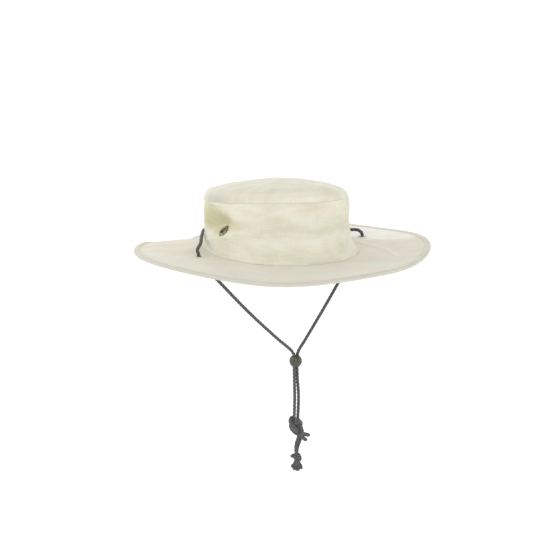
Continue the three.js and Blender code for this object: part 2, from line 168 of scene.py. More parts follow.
def gridMesh(points, uv, wrapRows=False, caps=(None, None), holes=None, shades=None):
    # A mesh of rows x columns points, closed along its columns, with its uv in mm.
    # wrapRows joins the last row to the first. caps are the points that close the two ends.
    # holes marks the faces that an outer wall leaves out, and the inner wall with it.
    rows, columns = points.shape[:2]
    faceRows = rows if wrapRows else rows - 1
    r, c = np.meshgrid(np.arange(faceRows), np.arange(columns), indexing="ij")
    nextRow, nextColumn = (r + 1) % rows, (c + 1) % columns
    faces = np.stack([r * columns + c, r * columns + nextColumn, nextRow * columns + nextColumn,
                      nextRow * columns + c], -1)
    uvRow = np.minimum(r + 1, uv.shape[0] - 1)
    uvs = np.stack([uv[r, c], uv[r, c + 1], uv[uvRow, c + 1], uv[uvRow, c]], 2)
    keep = np.ones((faceRows, columns), bool)
    walls, wallUvs = [], []
    if holes is not None:
        depth = holes.shape[0]
        keep[:depth] &= ~holes
        keep[rows - 1 - depth:rows - 1] &= ~holes[::-1]
        for row, column in np.argwhere(holes):
            corners = faces[row, column]
            beside = ((row - 1, column), (row, (column + 1) % columns), (row + 1, column), (row, column - 1))
            for side, (otherRow, otherColumn) in enumerate(beside):
                if not holes[otherRow, otherColumn]:
                    a, b = corners[side], corners[(side + 1) % 4]
                    under = [(rows - 1 - k // columns) * columns + k % columns for k in (b, a)]
                    walls.append((a, b, *under))
                    wallUvs.append([uvs[row, column, side]] * 4)
    faces, uvs = faces[keep], uvs[keep]
    if walls:
        faces, uvs = np.concatenate([faces, walls]), np.concatenate([uvs, wallUvs])
    vertices = [tuple(p) for p in (points.reshape(-1, 3) * mm).tolist()]
    faceList = [tuple(f) for f in faces.tolist()]
    uvList = uvs.reshape(-1, 2).tolist()
    for end, cap in enumerate(caps):
        if cap is None:
            continue
        vertices.append(tuple(float(v) * mm for v in cap))
        row = (rows - 1) * end
        for column in range(columns):
            a, b = row * columns + column, row * columns + (column + 1) % columns
            near, far = uv[row, column].tolist(), uv[row, column + 1].tolist()
            middle = [(near[0] + far[0]) / 2, (near[1] + far[1]) / 2]
            faceList.append((a, b, len(vertices) - 1) if end else (b, a, len(vertices) - 1))
            uvList += [near, far, middle] if end else [far, near, middle]
    mesh = bpy.data.meshes.new("grid")
    mesh.from_pydata(vertices, [], faceList)
    mesh.uv_layers.new(name="cloth").data.foreach_set("uv", np.array(uvList, np.float32).ravel())
    if shades is not None:
        attribute = mesh.attributes.new("shade", "FLOAT", "POINT")
        padded = np.concatenate([shades.ravel(), np.zeros(len(vertices) - shades.size)])
        attribute.data.foreach_set("value", padded.astype(np.float32))
    mesh.shade_smooth()
    mesh.set_sharp_from_angle(angle=math.radians(50))
    return mesh


def normalsOf(points):
    # the outward directions of such a grid
    return unit(np.cross(np.roll(points, -1, 1) - np.roll(points, 1, 1), np.gradient(points, axis=0)))


def bakeNodes(source, tree, settings, name):
    # runs a node tree on a mesh and gives the result as a plain piece
    piece = bpy.data.objects.new(name, source)
    bpy.context.scene.collection.objects.link(piece)
    modifier = piece.modifiers.new("nodes", "NODES")
    modifier.node_group = tree
    for socket in tree.interface.items_tree:
        if socket.in_out == "INPUT" and socket.name in settings:
            modifier[socket.identifier] = settings[socket.name]
    graph = bpy.context.evaluated_depsgraph_get()
    mesh = bpy.data.meshes.new_from_object(piece.evaluated_get(graph))
    piece.modifiers.remove(modifier)
    bpy.data.objects.remove(piece)
    return addPiece(name, mesh, settings["Material"])


def newNodeTree(name, **kinds):
    # a geometry node tree whose named inputs are of these kinds, with its input and output nodes
    tree = bpy.data.node_groups.new(name, "GeometryNodeTree")
    tree.interface.new_socket("Geometry", in_out="INPUT", socket_type="NodeSocketGeometry")
    tree.interface.new_socket("Geometry", in_out="OUTPUT", socket_type="NodeSocketGeometry")
    for title, kind in kinds.items():
        tree.interface.new_socket(title, in_out="INPUT", socket_type=f"NodeSocket{kind}")
    return tree, addNode(tree, "NodeGroupInput").outputs, addNode(tree, "NodeGroupOutput").inputs


def layCopies(tree, given, result, inputs):
    # the last nodes of a tree: copies on points, made real and given their material
    copies = addNode(tree, "GeometryNodeInstanceOnPoints", inputs)
    real = addNode(tree, "GeometryNodeRealizeInstances", {0: copies.outputs[0]})
    dressed = addNode(tree, "GeometryNodeSetMaterial",
                      {"Geometry": real.outputs[0], "Material": given["Material"]})
    tree.links.new(dressed.outputs[0], result[0])


def moveVertices(piece, change):
    # gives each vertex of a piece the place that change works out, in metres
    co = np.zeros(len(piece.data.vertices) * 3)
    piece.data.vertices.foreach_get("co", co)
    piece.data.vertices.foreach_set("co", change(co.reshape(-1, 3)).ravel())


def mottledMaterial(name, dark, light, noise, spread=(0, 1)):
    # a real material in patches of two colours; gives its noise and its patches too
    material, tree, shader = newMaterial(name)
    place = addNode(tree, "ShaderNodeTexCoord")
    grain = addNode(tree, "ShaderNodeTexNoise", {"Vector": place.outputs["Object"], **noise})
    patches = addNode(tree, "ShaderNodeMapRange",
                      {"Value": grain.outputs[0], "From Min": spread[0], "From Max": spread[1]})
    tint = addNode(tree, "ShaderNodeMix",
                   {"Factor": patches.outputs[0], 6: toLinear(dark), 7: toLinear(light)}, data_type="RGBA")
    tree.links.new(tint.outputs[2], shader.inputs["Base Color"])
    return material, tree, shader, grain, patches


# The chin cord: 3.4 mm, three pairs of strands plaited round. lay is the length of one crossing,
# and level is the height on a strand, as a share, that lies at the cord's own radius.
cord = {
    "diameter": 3.4, "strands": 3, "lay": 2.3, "relief": 0.62, "level": 0.4, "sides": 26, "step": 0.34,
    "thinOver": 2.5, "endRise": 0.4,
}

# One whole loop: from the big knot up through the bead to the brim on the wearer's right,
# round the back of the crown, and down again on the left.
cordRoute = [
    (15.3, -8, -219.5), (15.9, -8, -188), (15.3, -8, -164), (14.9, -8, -149), (14.9, -8, -135),
    (12, -8, -129.2), (-10, -8, -108), (-46, -8, -71.6), (-79, -8, -35), (-98, -8, -13.5),
    (-105.4, -8, -5.2), (-106, -8, 0), (-107, -7.2, 4.4), (-106.4, -4.4, 7), (-102, 1.5, 9),
    (-93.6, 14, 10.6), (-84.6, 31.8, 12), (-77, 45.7, 13), (-67.1, 63, 13.4), (-47.6, 83.1, 13.6),
    (-18, 96.2, 13.6), (12, 96.4, 13.4), (41.2, 85.4, 12.8), (66, 62.5, 11.6), (90, 20, 9.2),
    (100, 3, 8), (106.6, -3, 7.9), (109.8, -7.2, 4.4), (110, -8, -0.8), (109.2, -8, -5.8),
    (103, -8, -14.5), (84, -8, -42), (57.6, -8, -80), (29.8, -8, -118), (21.4, -8, -129),
    (19.1, -8, -135.4), (19.1, -8, -149), (19.6, -8, -164), (21.4, -8, -188), (20.3, -8, -220.5),
]
tailRoutes = [
    [(21, -9.2, -234.5), (20.2, -9.4, -241.5), (17.5, -9.5, -249), (16.8, -9.6, -257), (17.8, -9.6, -264)],
    [(26, -7, -236), (26, -6.8, -243), (23.8, -6.6, -250), (21.2, -6.5, -257), (20.3, -6.4, -264)],
]


def curveThrough(route, step):
    # points an even step apart on a smooth curve through the route
    p = np.array(route, float)
    p = np.vstack([2 * p[0] - p[1], p, 2 * p[-1] - p[-2]])
    knots = np.concatenate([[0], np.cumsum(np.sqrt(np.linalg.norm(np.diff(p, axis=0), axis=1)))])
    dense = []
    for i in range(1, len(p) - 2):
        t0, t1, t2, t3 = knots[i - 1:i + 3]
        t = np.linspace(t1, t2, 40, endpoint=False)[:, None]
        a1 = (t1 - t) / (t1 - t0) * p[i - 1] + (t - t0) / (t1 - t0) * p[i]
        a2 = (t2 - t) / (t2 - t1) * p[i] + (t - t1) / (t2 - t1) * p[i + 1]
        a3 = (t3 - t) / (t3 - t2) * p[i + 1] + (t - t2) / (t3 - t2) * p[i + 2]
        b1 = (t2 - t) / (t2 - t0) * a1 + (t - t0) / (t2 - t0) * a2
        b2 = (t3 - t) / (t3 - t1) * a2 + (t - t1) / (t3 - t1) * a3
        dense.append((t2 - t) / (t2 - t1) * b1 + (t - t1) / (t2 - t1) * b2)
    dense = np.vstack([*dense, p[-2]])
    along = runAlong(dense)
    even = np.linspace(0, along[-1], max(int(round(along[-1] / step)), 4) + 1)
    return np.stack([np.interp(even, along, dense[:, k]) for k in range(3)], -1), along[-1]


def braidTube(route, radius, thinEnds=(0, 0)):
    # a round braid along a route: two slanting sets of strands that go over and under in turn
    line, length = curveThrough(route, cord["step"])
    tangent = unit(np.gradient(line, axis=0))
    side = np.cross(tangent[0], (0.3, 1, 0.2))
    sides = []
    for ahead in tangent:
        side = unit(side - ahead * side.dot(ahead))
        sides.append(side)
    sides = np.array(sides)
    others = np.cross(tangent, sides)
    angle = np.arange(cord["sides"] + 1) * 2 * np.pi / cord["sides"]
    s = np.linspace(0, length, len(line))[:, None]
    left = cord["strands"] * angle / (2 * np.pi) + s / cord["lay"] / 2
    right = cord["strands"] * angle / (2 * np.pi) - s / cord["lay"] / 2
    leftOver = (np.floor(left) + np.floor(right)) % 2 < 1
    across = np.where(leftOver, left % 1, right % 1)
    along = np.where(leftOver, right % 1, left % 1)
    relief = np.sqrt(np.clip(1 - (2 * across - 1) ** 2, 0, 1))
    relief = relief * (cord["level"] + (1 - cord["level"]) * np.sin(np.pi * along))
    thin = np.ones_like(s)
    for end, amount in zip((s, length - s), thinEnds):
        thin *= 1 - amount * np.clip(1 - end / cord["thinOver"], 0, 1) ** 2
    reach = (radius + cord["relief"] * (relief[:, :-1] - cord["level"])) * thin
    ring = angle[:-1, None]
    outward = np.cos(ring) * sides[:, None] + np.sin(ring) * others[:, None]
    points = line[:, None] + reach[..., None] * outward
    uv = np.stack(np.meshgrid(angle * radius, s[:, 0]), -1)
    caps = (line[0] - tangent[0] * cord["endRise"], line[-1] + tangent[-1] * cord["endRise"])
    return gridMesh(points, uv, caps=caps, shades=relief[:, :-1]), line, length


# Braided polyester cord, dark grey: dull, with painted shade between strands and painted highlight on crests.
# Its fibres are far finer than a render shows, so they are drawn 0.4 mm apart.
braidedPolyester, tree, shader = newMaterial("braidedPolyester")
relief = addNode(tree, "ShaderNodeAttribute", attribute_name="shade")
uv = addNode(tree, "ShaderNodeUVMap", uv_map="cloth")
drawn = addNode(tree, "ShaderNodeMapping", {"Vector": uv.outputs[0], "Scale": (2.5, 0.9, 1)})
fibres = addNode(tree, "ShaderNodeTexNoise", {"Vector": drawn.outputs[0], "Scale": 1.0, "Detail": 3.0})
# painted shade and highlight: darker where the braid's relief is low, paler on its crests
crest = addNode(tree, "ShaderNodeMath", {0: relief.outputs["Fac"], 1: 0.6, 2: fibres.outputs[0]},
                operation="MULTIPLY_ADD")
crestLightGrooveShade = addNode(tree, "ShaderNodeMapRange", {"Value": crest.outputs[0], "From Min": 0.5, "From Max": 1.25})
tint = addNode(tree, "ShaderNodeMix",
               {"Factor": crestLightGrooveShade.outputs[0], 6: toLinear("111213"), 7: toLinear("646567")},
               data_type="RGBA")
tree.links.new(tint.outputs[2], shader.inputs["Base Color"])
bump = addNode(tree, "ShaderNodeBump", {"Height": fibres.outputs[0], "Strength": 0.5, "Distance": 0.1 * mm})
tree.links.new(bump.outputs[0], shader.inputs["Normal"])
shader.inputs["Roughness"].default_value = 0.8
shader.inputs["Sheen Weight"].default_value = 0.15

chinMesh, chinLine, chinLength = braidTube(cordRoute, cord["diameter"] / 2)
chinCord = addPiece("chinCord", chinMesh, braidedPolyester)
tailCords = []
for index, route in enumerate(tailRoutes):
    tailMesh, _, _ = braidTube(route, cord["diameter"] / 2)
    tailCords.append(addPiece(f"tailCord{index + 1}", tailMesh, braidedPolyester))
print("cords made, the chin cord", round(chinLength), "mm long")


# The hat's cloth surfaces, as points for angles round it in degrees and shares of the way up or in.
seam = {"halfWidth": 86, "halfLength": 100, "tilt": 2, "sideDip": 1, "gap": 0.5}
tipSeam = {
    "halfWidth": 79.5, "halfLength": 90.2, "shiftX": -4.1, "shiftY": 2.5,
    "height": 56, "tilt": 9, "roll": 1.4, "gap": 0.15, "drop": 1.2, "dropMore": 0.8, "dropAngle": 325,
}
# Under an eyelet the cloth is flat, and blends back into its own shape round it.
vent = {"barrel": 4.1, "flat": 7.9, "blend": 2.4, "columns": 56}
ventPlaces = [(188.5, 0.46), (140, 0.5), (346, 0.46), (38, 0.5)]  # angle, share of the way up
holeStitching = {
    "barrel": 3.9, "flat": 8, "blend": 6,
    "threads": 44, "bore": 3.0, "rim": 6.0, "thread": 0.3, "depth": 1.75,
}
cordPlaces = {"cordEyeletRight": (-106, -8), "cordEyeletLeft": (110, -8)}
holePlay = 0.9  # from a barrel to the edge of the hole round it


def bell(distance, spread):
    return np.exp(-0.5 * (distance / spread) ** 2)


def smooth(value, low, high):
    t = np.clip((value - low) / (high - low), 0, 1)
    return t * t * (3 - 2 * t)


def turnBetween(start, end):
    return (end - start + 180) % 360 - 180


def ripples(x, y, length, seed, count=16):
    # soft random waves of about this length, mostly between -1 and 1
    total = 0
    for heading, phase, stretch in np.random.default_rng(seed).random((count, 3)):
        k = 2 * np.pi / (length * (0.7 + 0.8 * stretch))
        total = total + np.sin(k * (x * np.cos(2 * np.pi * heading) + y * np.sin(2 * np.pi * heading))
                               + 2 * np.pi * phase)
    return total / math.sqrt(count)


def seamPoint(angle):
    t = np.radians(angle)
    height = seam["tilt"] * np.sin(t) - seam["sideDip"] * np.cos(2 * t)
    return np.stack([seam["halfWidth"] * np.cos(t), seam["halfLength"] * np.sin(t), height], -1)


def tipPoint(angle, reach=1, lean=0):
    t = np.radians(angle)
    left, back = np.cos(t) * reach + lean / tipSeam["halfWidth"], np.sin(t) * reach
    height = tipSeam["height"] - tipSeam["tilt"] * back - tipSeam["roll"] * left
    return np.stack([tipSeam["shiftX"] + tipSeam["halfWidth"] * left,
                     tipSeam["shiftY"] + tipSeam["halfLength"] * back, height], -1)


def tipSeamDrop(angle):
    # how far the top's seam runs under the level of the top's oval
    return tipSeam["drop"] + tipSeam["dropMore"] * np.cos(np.radians(angle - tipSeam["dropAngle"]))


def surfaceNormal(surface, angle, share):
    around = surface(angle + 0.5, share) - surface(angle - 0.5, share)
    up = surface(angle, np.minimum(share + 0.01, 1)) - surface(angle, np.maximum(share - 0.01, 0))
    return unit(np.cross(around, up))


def flattened(points, seats, eyelet):
    # the cloth lies flat under an eyelet and eases back to its own shape round it
    for centre, normal in seats:
        offset = points - centre
        lift = smooth(np.linalg.norm(offset, axis=-1), eyelet["flat"], eyelet["flat"] + eyelet["blend"])
        points = points + ((offset @ normal) * (lift - 1))[..., None] * normal
    return points


# Dents (depth above zero) and swells (below zero) in the crown's side: the angle and height
# where each is deepest, how far it spreads round in degrees, down and up in mm, and its depth.
crownFolds = [
    (182, 34, 13, 7, 12, 13), (206, 41, 7, 9, 10, -2.2), (228, 30, 12, 10, 12, 1.6),
    (252, 24, 13, 9, 9, -1.5), (20, 34, 14, 9, 12, 4), (100, 30, 22, 10, 12, 2.5),
]
crown = {"cloth": 1.6, "flare": 5, "columns": 400, "rows": 84, "middleRow": 40}


def pushedIn(points, angle, depth, share):
    # the crown's side moved in by a depth, which fades out at both seams
    t = np.radians(angle)
    outward = np.stack([np.cos(t), np.sin(t), np.zeros_like(t)], -1)
    return points - outward * (depth * np.minimum(1, 12 * share * (1 - share)))[..., None]


def foldedSide(angle, share, folds=crownFolds):
    angle, share = np.broadcast_arrays(np.asarray(angle, float), np.asarray(share, float))
    foot, head = seamPoint(angle), tipPoint(angle)
    head[..., 2] -= tipSeamDrop(angle)
    inward = (1 - (1 - share) ** crown["flare"])[..., None]
    height = foot[..., 2] + seam["gap"] + (head[..., 2] - tipSeam["gap"] - foot[..., 2] - seam["gap"]) * share
    depth = 0
    for where, level, spread, below, above, deep in folds:
        reach = np.where(height < level, below, above)
        depth = depth + deep * bell(turnBetween(where, angle), spread) * bell(height - level, reach)
    points = foot + (head - foot) * inward
    points[..., 2] = height
    return pushedIn(points, angle, depth, share)


ventSeats = [(foldedSide(a, s), surfaceNormal(foldedSide, a, s)) for a, s in ventPlaces]


# The deep tuck over the first vent eyelet, in place of the soft dent of the first row above: its
# flank runs straight in from the top seam to a slanting crease, and out again under it. It
# starts and ends over these turns in degrees; painted shade darkens and yellows it over a little more of
# them.
tuck = {
    "angle": 182, "level": 31, "slant": 0.42, "top": 58, "below": 14, "deep": 13.5,
    "startsAt": (-31, -5), "endsAt": (-2, 32), "endSlant": 0.6,
    # painted shade in the tuck: its strength, the depth where it is full, and the turns and heights it covers
    "tuckPaintedShade": 0.66, "tuckPaintedShadeDepth": 7.5, "tuckPaintedShadeFrom": (-48, -18), "tuckPaintedShadeTo": (4, 34),
    "tuckPaintedShadeAbove": (18, 32),
}
# Smaller creases and swells, in the terms of the first rows.
crownCreases = [
    (206, 38, 5, 9, 10, -1.4), (216, 34, 5, 8, 9, 0.8), (238, 43, 9, 4, 6, 0.7), (268, 16, 12, 5, 7, -0.8),
    (296, 40, 14, 6, 6, 0.8), (322, 20, 10, 7, 9, -0.7),
]


def tuckDepth(angle, height, starts=tuck["startsAt"], ends=tuck["endsAt"]):
    turned = turnBetween(tuck["angle"], angle)
    level = tuck["level"] + tuck["slant"] * turned
    above = np.maximum((tuck["top"] - height) / (tuck["top"] - level), 0.01)
    under = np.maximum((height - level + tuck["below"]) / tuck["below"], 0.01)
    softLesser = (above ** -8 + under ** -8) ** (-1 / 8)
    eased = 1 - smooth(turned + tuck["endSlant"] * (height - level), *ends)
    return tuck["deep"] * softLesser * smooth(turned, *starts) * eased


def crownSide(angle, share):
    points = foldedSide(angle, share, crownFolds[1:] + crownCreases)
    return flattened(pushedIn(points, angle, tuckDepth(angle, points[..., 2]), share), ventSeats, vent)


# The top of the crown from its seam to its middle: share of the oval, rise, and lean to the left.
tipProfile = [
    (1, 0, 0), (0.975, 3.8, -1), (0.945, 6.9, -2), (0.91, 9.8, -3.6), (0.76, 14.5, -6), (0.4, 19.6, -3.5),
    (0, 22, 0),
]
crownTopGrid = {"columns": 320, "rows": 64}


def crownTop(angle, share):
    profile, _ = curveThrough(tipProfile, 0.4)
    reach, rise, lean = (np.interp(share, np.linspace(0, 1, len(profile)), profile[:, k]) for k in range(3))
    points = tipPoint(angle, np.clip(reach, 0, 1), lean)
    points[..., 2] += tipSeam["gap"] + rise - tipSeamDrop(angle) * (1 - smooth(share * 6, 0, 1))
    return points


brimEdge = {
    "halfWidth": 163.5, "halfLength": 178.8, "shiftY": -0.2, "level": 2.3, "tilt": -9.9, "sideLift": 1.2,
}
# Waves of the brim's edge: where each is highest, how far it spreads in degrees, and its rise.
brimWaves = [
    (330, 22, 1.8), (12, 18, -3.4), (55, 22, 3.9), (92, 20, -7.4), (114, 11, -11.2),
    (150, 20, -1.4), (205, 16, -0.9), (240, 20, -9.8), (288, 18, -5.5),
]
brim = {"cloth": 2.4, "columns": 520, "rows": 56}


def brimEdgePoint(angle):
    t = np.radians(angle)
    height = brimEdge["level"] + brimEdge["tilt"] * np.sin(t) + brimEdge["sideLift"] * np.cos(2 * t)
    for where, spread, rise in brimWaves:
        height = height + rise * bell(turnBetween(where, angle), spread)
    return np.stack([brimEdge["halfWidth"] * np.cos(t),
                     brimEdge["halfLength"] * np.sin(t) + brimEdge["shiftY"], height], -1)


def brimInnerPoint(angle):
    t = np.radians(angle)
    normal = np.stack([np.cos(t) / seam["halfWidth"], np.sin(t) / seam["halfLength"], np.zeros_like(t)], -1)
    return seamPoint(angle) - crown["cloth"] * unit(normal)


def wavedBrim(angle, share):
    # from the edge (0) to the crown (1)
    angle, share = np.broadcast_arrays(np.asarray(angle, float), np.asarray(share, float))
    edge = brimEdgePoint(angle)
    return edge + (brimInnerPoint(angle) - edge) * share[..., None]


def brimSpot(x, y):
    # the place on the brim's top straight over or under x, y
    angle, share = math.degrees(math.atan2(y, x)), 0.7
    for _ in range(30):
        px, py, _ = wavedBrim(angle, share)
        angle += turnBetween(math.degrees(math.atan2(py, px)), math.degrees(math.atan2(y, x)))
        share += (math.hypot(px, py) - math.hypot(x, y)) / 80
    return wavedBrim(angle, share), surfaceNormal(wavedBrim, angle, share)


cordSeats = [brimSpot(x, y) for x, y in cordPlaces.values()]


def brimTop(angle, share):
    return flattened(wavedBrim(angle, share), cordSeats, holeStitching)


# Cotton duck, off-white, plain-woven and washed soft: a dry cream with faint slubs.
# Its threads lie 0.45 mm apart, and are drawn 0.9 mm apart so that the weave shows at all.
duckWeave = {"thread": 0.9, "depth": 0.12, "slubLength": 14, "slubWidth": 0.9, "cloud": 30, "drawn": 0.4}


def clothMaterial(name, light, dark, mark, weave, angle=0):
    # a woven cloth in clouds of a light and a dark shade, marked with painted shade (crown, tape) and light
    # (brim)
    material, tree, shader = newMaterial(name)
    uv = addNode(tree, "ShaderNodeUVMap", uv_map="cloth")
    turned = addNode(tree, "ShaderNodeMapping",
                     {"Vector": uv.outputs[0], "Rotation": (0, 0, math.radians(angle))})
    k = math.pi / weave["thread"]
    scaled = addNode(tree, "ShaderNodeVectorMath", {0: turned.outputs[0], 1: (k, k, 0)},
                     operation="MULTIPLY")
    axes = addNode(tree, "ShaderNodeSeparateXYZ", {0: scaled.outputs[0]})
    warp, weft = (addNode(tree, "ShaderNodeMath", {0: axes.outputs[i]}, operation="SINE") for i in (0, 1))
    woven = addNode(tree, "ShaderNodeMath", {0: warp.outputs[0], 1: weft.outputs[0]}, operation="MULTIPLY")
    slubs = []
    long, fine = weave["slubLength"], weave["slubWidth"]
    for wide, high in ((long, fine), (fine, long)):
        place = addNode(tree, "ShaderNodeMapping",
                        {"Vector": turned.outputs[0], "Scale": (1 / wide, 1 / high, 1)})
        slubs.append(addNode(tree, "ShaderNodeTexNoise", {"Vector": place.outputs[0], "Scale": 1.0}))
    slub = addNode(tree, "ShaderNodeMath", {0: slubs[0].outputs[0], 1: slubs[1].outputs[0]}, operation="ADD")
    drawn = addNode(tree, "ShaderNodeMapping", {"Vector": uv.outputs[0], "Scale": (weave["drawn"], 1, 1)})
    cloud = addNode(tree, "ShaderNodeTexNoise", {
        "Vector": drawn.outputs[0], "Scale": 2 / weave["cloud"], "Detail": 3.0, "Roughness": 0.6,
    })
    tone = addNode(tree, "ShaderNodeMath", {0: cloud.outputs[0], 1: 4.0, 2: slub.outputs[0]},
                   operation="MULTIPLY_ADD")
    shade = addNode(tree, "ShaderNodeMapRange", {"Value": tone.outputs[0], "From Min": 2.2, "From Max": 3.7})
    tint = addNode(tree, "ShaderNodeMix",
                   {"Factor": shade.outputs[0], 6: toLinear(dark), 7: toLinear(light)}, data_type="RGBA")
    # the wash left one stretch a little cooler than the next
    hue = addNode(tree, "ShaderNodeTexNoise", {"Vector": drawn.outputs[0], "Scale": 1.3 / weave["cloud"]})
    warm = addNode(tree, "ShaderNodeMapRange", {"Value": hue.outputs[0], "From Min": 0.35, "From Max": 0.65})
    cast = addNode(tree, "ShaderNodeMix",
                   {"Factor": warm.outputs[0], 6: toLinear("fcfffb"), 7: toLinear("fffaf7")},
                   data_type="RGBA")
    washed = addNode(tree, "ShaderNodeMix", {"Factor": 1.0, 6: tint.outputs[2], 7: cast.outputs[2]},
                     data_type="RGBA", blend_type="MULTIPLY")
    # the mark: painted shade or painted light, as each piece's shade attribute sets it
    marks = addNode(tree, "ShaderNodeAttribute", attribute_name="shade")
    marked = addNode(tree, "ShaderNodeMix",
                     {"Factor": marks.outputs["Fac"], 6: washed.outputs[2], 7: toLinear(mark)},
                     data_type="RGBA")
    tree.links.new(marked.outputs[2], shader.inputs["Base Color"])
    height = addNode(tree, "ShaderNodeMath", {0: woven.outputs[0], 1: 0.6, 2: slub.outputs[0]},
                     operation="MULTIPLY_ADD")
    bump = addNode(tree, "ShaderNodeBump",
                   {"Height": height.outputs[0], "Strength": 0.6, "Distance": weave["depth"] * mm})
    tree.links.new(bump.outputs[0], shader.inputs["Normal"])
    shader.inputs["Roughness"].default_value = 0.92
    shader.inputs["Sheen Weight"].default_value = 0.1
    return material


# In its tuck the duck carries painted shade, darker and yellower where the fold lies in shadow.
cottonDuck = clothMaterial("cottonDuck", "e2e2d6", "d2cebb", "b8b181", duckWeave)
# The top's piece of the same cloth, with painted shade in grey by its seam on the wearer's right.
topDuck = clothMaterial("cottonDuckTop", "e0ded2", "d2cebc", "a9a79c", duckWeave)
# The same cloth laid double and pressed flat: smoother, and its clouds lie every way. Its marks
# are pale: a painted highlight on the crest of a crease, and painted light past a hollow.
doubledDuck = clothMaterial("doubledCottonDuck", "e0ddd2", "dad6c8", "f6f6f2",
                            {**duckWeave, "cloud": 60, "drawn": 0.9})
# Bias tape of finer cotton: its threads run slantwise, and painted shade darkens its outer edge.
biasTape = clothMaterial("cottonBiasTape", "d9d7cb", "cfccbd", "b4b2a8", {**duckWeave, "thread": 0.8}, 45)


def anglesRound(columns):
    return np.arange(columns) * 360 / columns


def flatUv(points):
    # a grid's uv as its cloth lies seen from above
    return np.concatenate([points[..., :2], points[:, :1, :2]], 1)


def awayFrom(points, seats, near, far):
    # 0 close to the seats and 1 beyond them
    return np.prod([smooth(np.linalg.norm(points - centre, axis=-1), near, far) for centre, _ in seats], 0)


def holesRound(points, seats, barrel):
    # marks the faces of a grid that an eyelet's barrel goes through
    beside = np.roll(points, -1, 1)
    middles = (points[:-1] + points[1:] + beside[:-1] + beside[1:]) / 4
    return np.any([np.linalg.norm(middles - centre, axis=-1) < barrel + holePlay for centre, _ in seats], 0)


def levelled(normals, steepness):
    # outward directions that turn level as the steepness goes to 0
    turned = normals.copy()
    turned[..., 2] *= steepness
    return unit(turned)


# The side of the crown: a wall of cloth with small creases and puckers at its seams, a row of
# stitching sunk under the top seam and another over the foot, and the cord pressed into it.
sideDetail = {
    "radius": 85, "crease": 0.3, "creaseLength": 26, "slump": 0.5, "slumpLength": 34, "seamFade": 5,
    "pucker": 0.13, "puckerEvery": 7.5, "rowsAt": (2.6, 3.4), "rowDepth": 0.28, "rowWidth": 0.7,
    "seamRoll": 0.25, "rollWidth": 1.1, "footClosed": 0.4, "cordPress": 0.45,
}

angles = anglesRound(crown["columns"])
sidePoints = crownSide(angles, np.linspace(0, 1, crown["rows"])[:, None])
sideNormals = normalsOf(sidePoints)
belt = sidePoints[crown["middleRow"]]
around = runAlong(np.concatenate([belt, belt[:1]]))
heightUp = runAlong(sidePoints)
toTop = heightUp[-1:] - heightUp
turns = np.radians(angles)
relief = sideDetail["crease"] * ripples(
    sideDetail["radius"] * np.cos(turns), sideDetail["radius"] * np.sin(turns) + 0.6 * heightUp,
    sideDetail["creaseLength"], 3)
relief += sideDetail["slump"] * ripples(0.45 * around[:-1], 1.5 * heightUp, sideDetail["slumpLength"], 8)
nearSeams = np.exp(-heightUp / 7) + np.exp(-toTop / 6)
relief += sideDetail["pucker"] * nearSeams * np.sin(
    2 * np.pi * around[:-1] / sideDetail["puckerEvery"] + 2 * ripples(around[:-1], heightUp, 40, 5))
relief *= smooth(toTop, 0, sideDetail["seamFade"])
# sunk along both rows of stitching and under the cord, and flat by the eyelets and the edges
for fromSeam, row in zip((toTop, heightUp), sideDetail["rowsAt"]):
    relief -= sideDetail["rowDepth"] * bell(fromSeam - row, sideDetail["rowWidth"])
fromCord = np.min([np.linalg.norm(sidePoints - point, axis=-1) for point in chinLine[::6]], 0)
relief = relief * smooth(fromCord, 3, 9) - sideDetail["cordPress"] * (1 - smooth(fromCord, 2, 5.5))
relief *= awayFrom(sidePoints, ventSeats, 8, 14) * smooth(toTop, 0, 1.2) * smooth(heightUp, 0, 1.2)
seamRoll = sideDetail["seamRoll"] * np.exp(-(toTop / sideDetail["rollWidth"]) ** 2)
sideOuter = sidePoints + sideNormals * (relief - seamRoll)[..., None]
sideOuter[..., 2] -= sideDetail["footClosed"] * seam["gap"] * (1 - smooth(heightUp, 0, 2))
# the inside keeps its distance level at both edges, where the cloth is cut square
inwards = levelled(sideNormals, smooth(toTop, 0, 3) * smooth(heightUp, 0, 3))
sideGrid = np.concatenate([sideOuter, (sideOuter - inwards * crown["cloth"])[::-1]])
sideUv = np.stack([np.broadcast_to(around, (crown["rows"], crown["columns"] + 1)),
                   np.concatenate([heightUp, heightUp[:, :1]], 1)], -1)
sideUv = np.concatenate([sideUv, sideUv[::-1]])
# painted shade in the tuck, full where the tuck is deep and only above a height
tuckPaintedShade = tuckDepth(angles, sidePoints[..., 2], tuck["tuckPaintedShadeFrom"], tuck["tuckPaintedShadeTo"])
tuckPaintedShade = tuck["tuckPaintedShade"] * smooth(tuckPaintedShade, 0, tuck["tuckPaintedShadeDepth"]) * smooth(heightUp, *tuck["tuckPaintedShadeAbove"])
crownSidePiece = addPiece("crownSide", gridMesh(
    sideGrid, sideUv, wrapRows=True, holes=holesRound(sidePoints, ventSeats, vent["barrel"]),
    shades=np.concatenate([tuckPaintedShade, 0 * tuckPaintedShade])), cottonDuck)

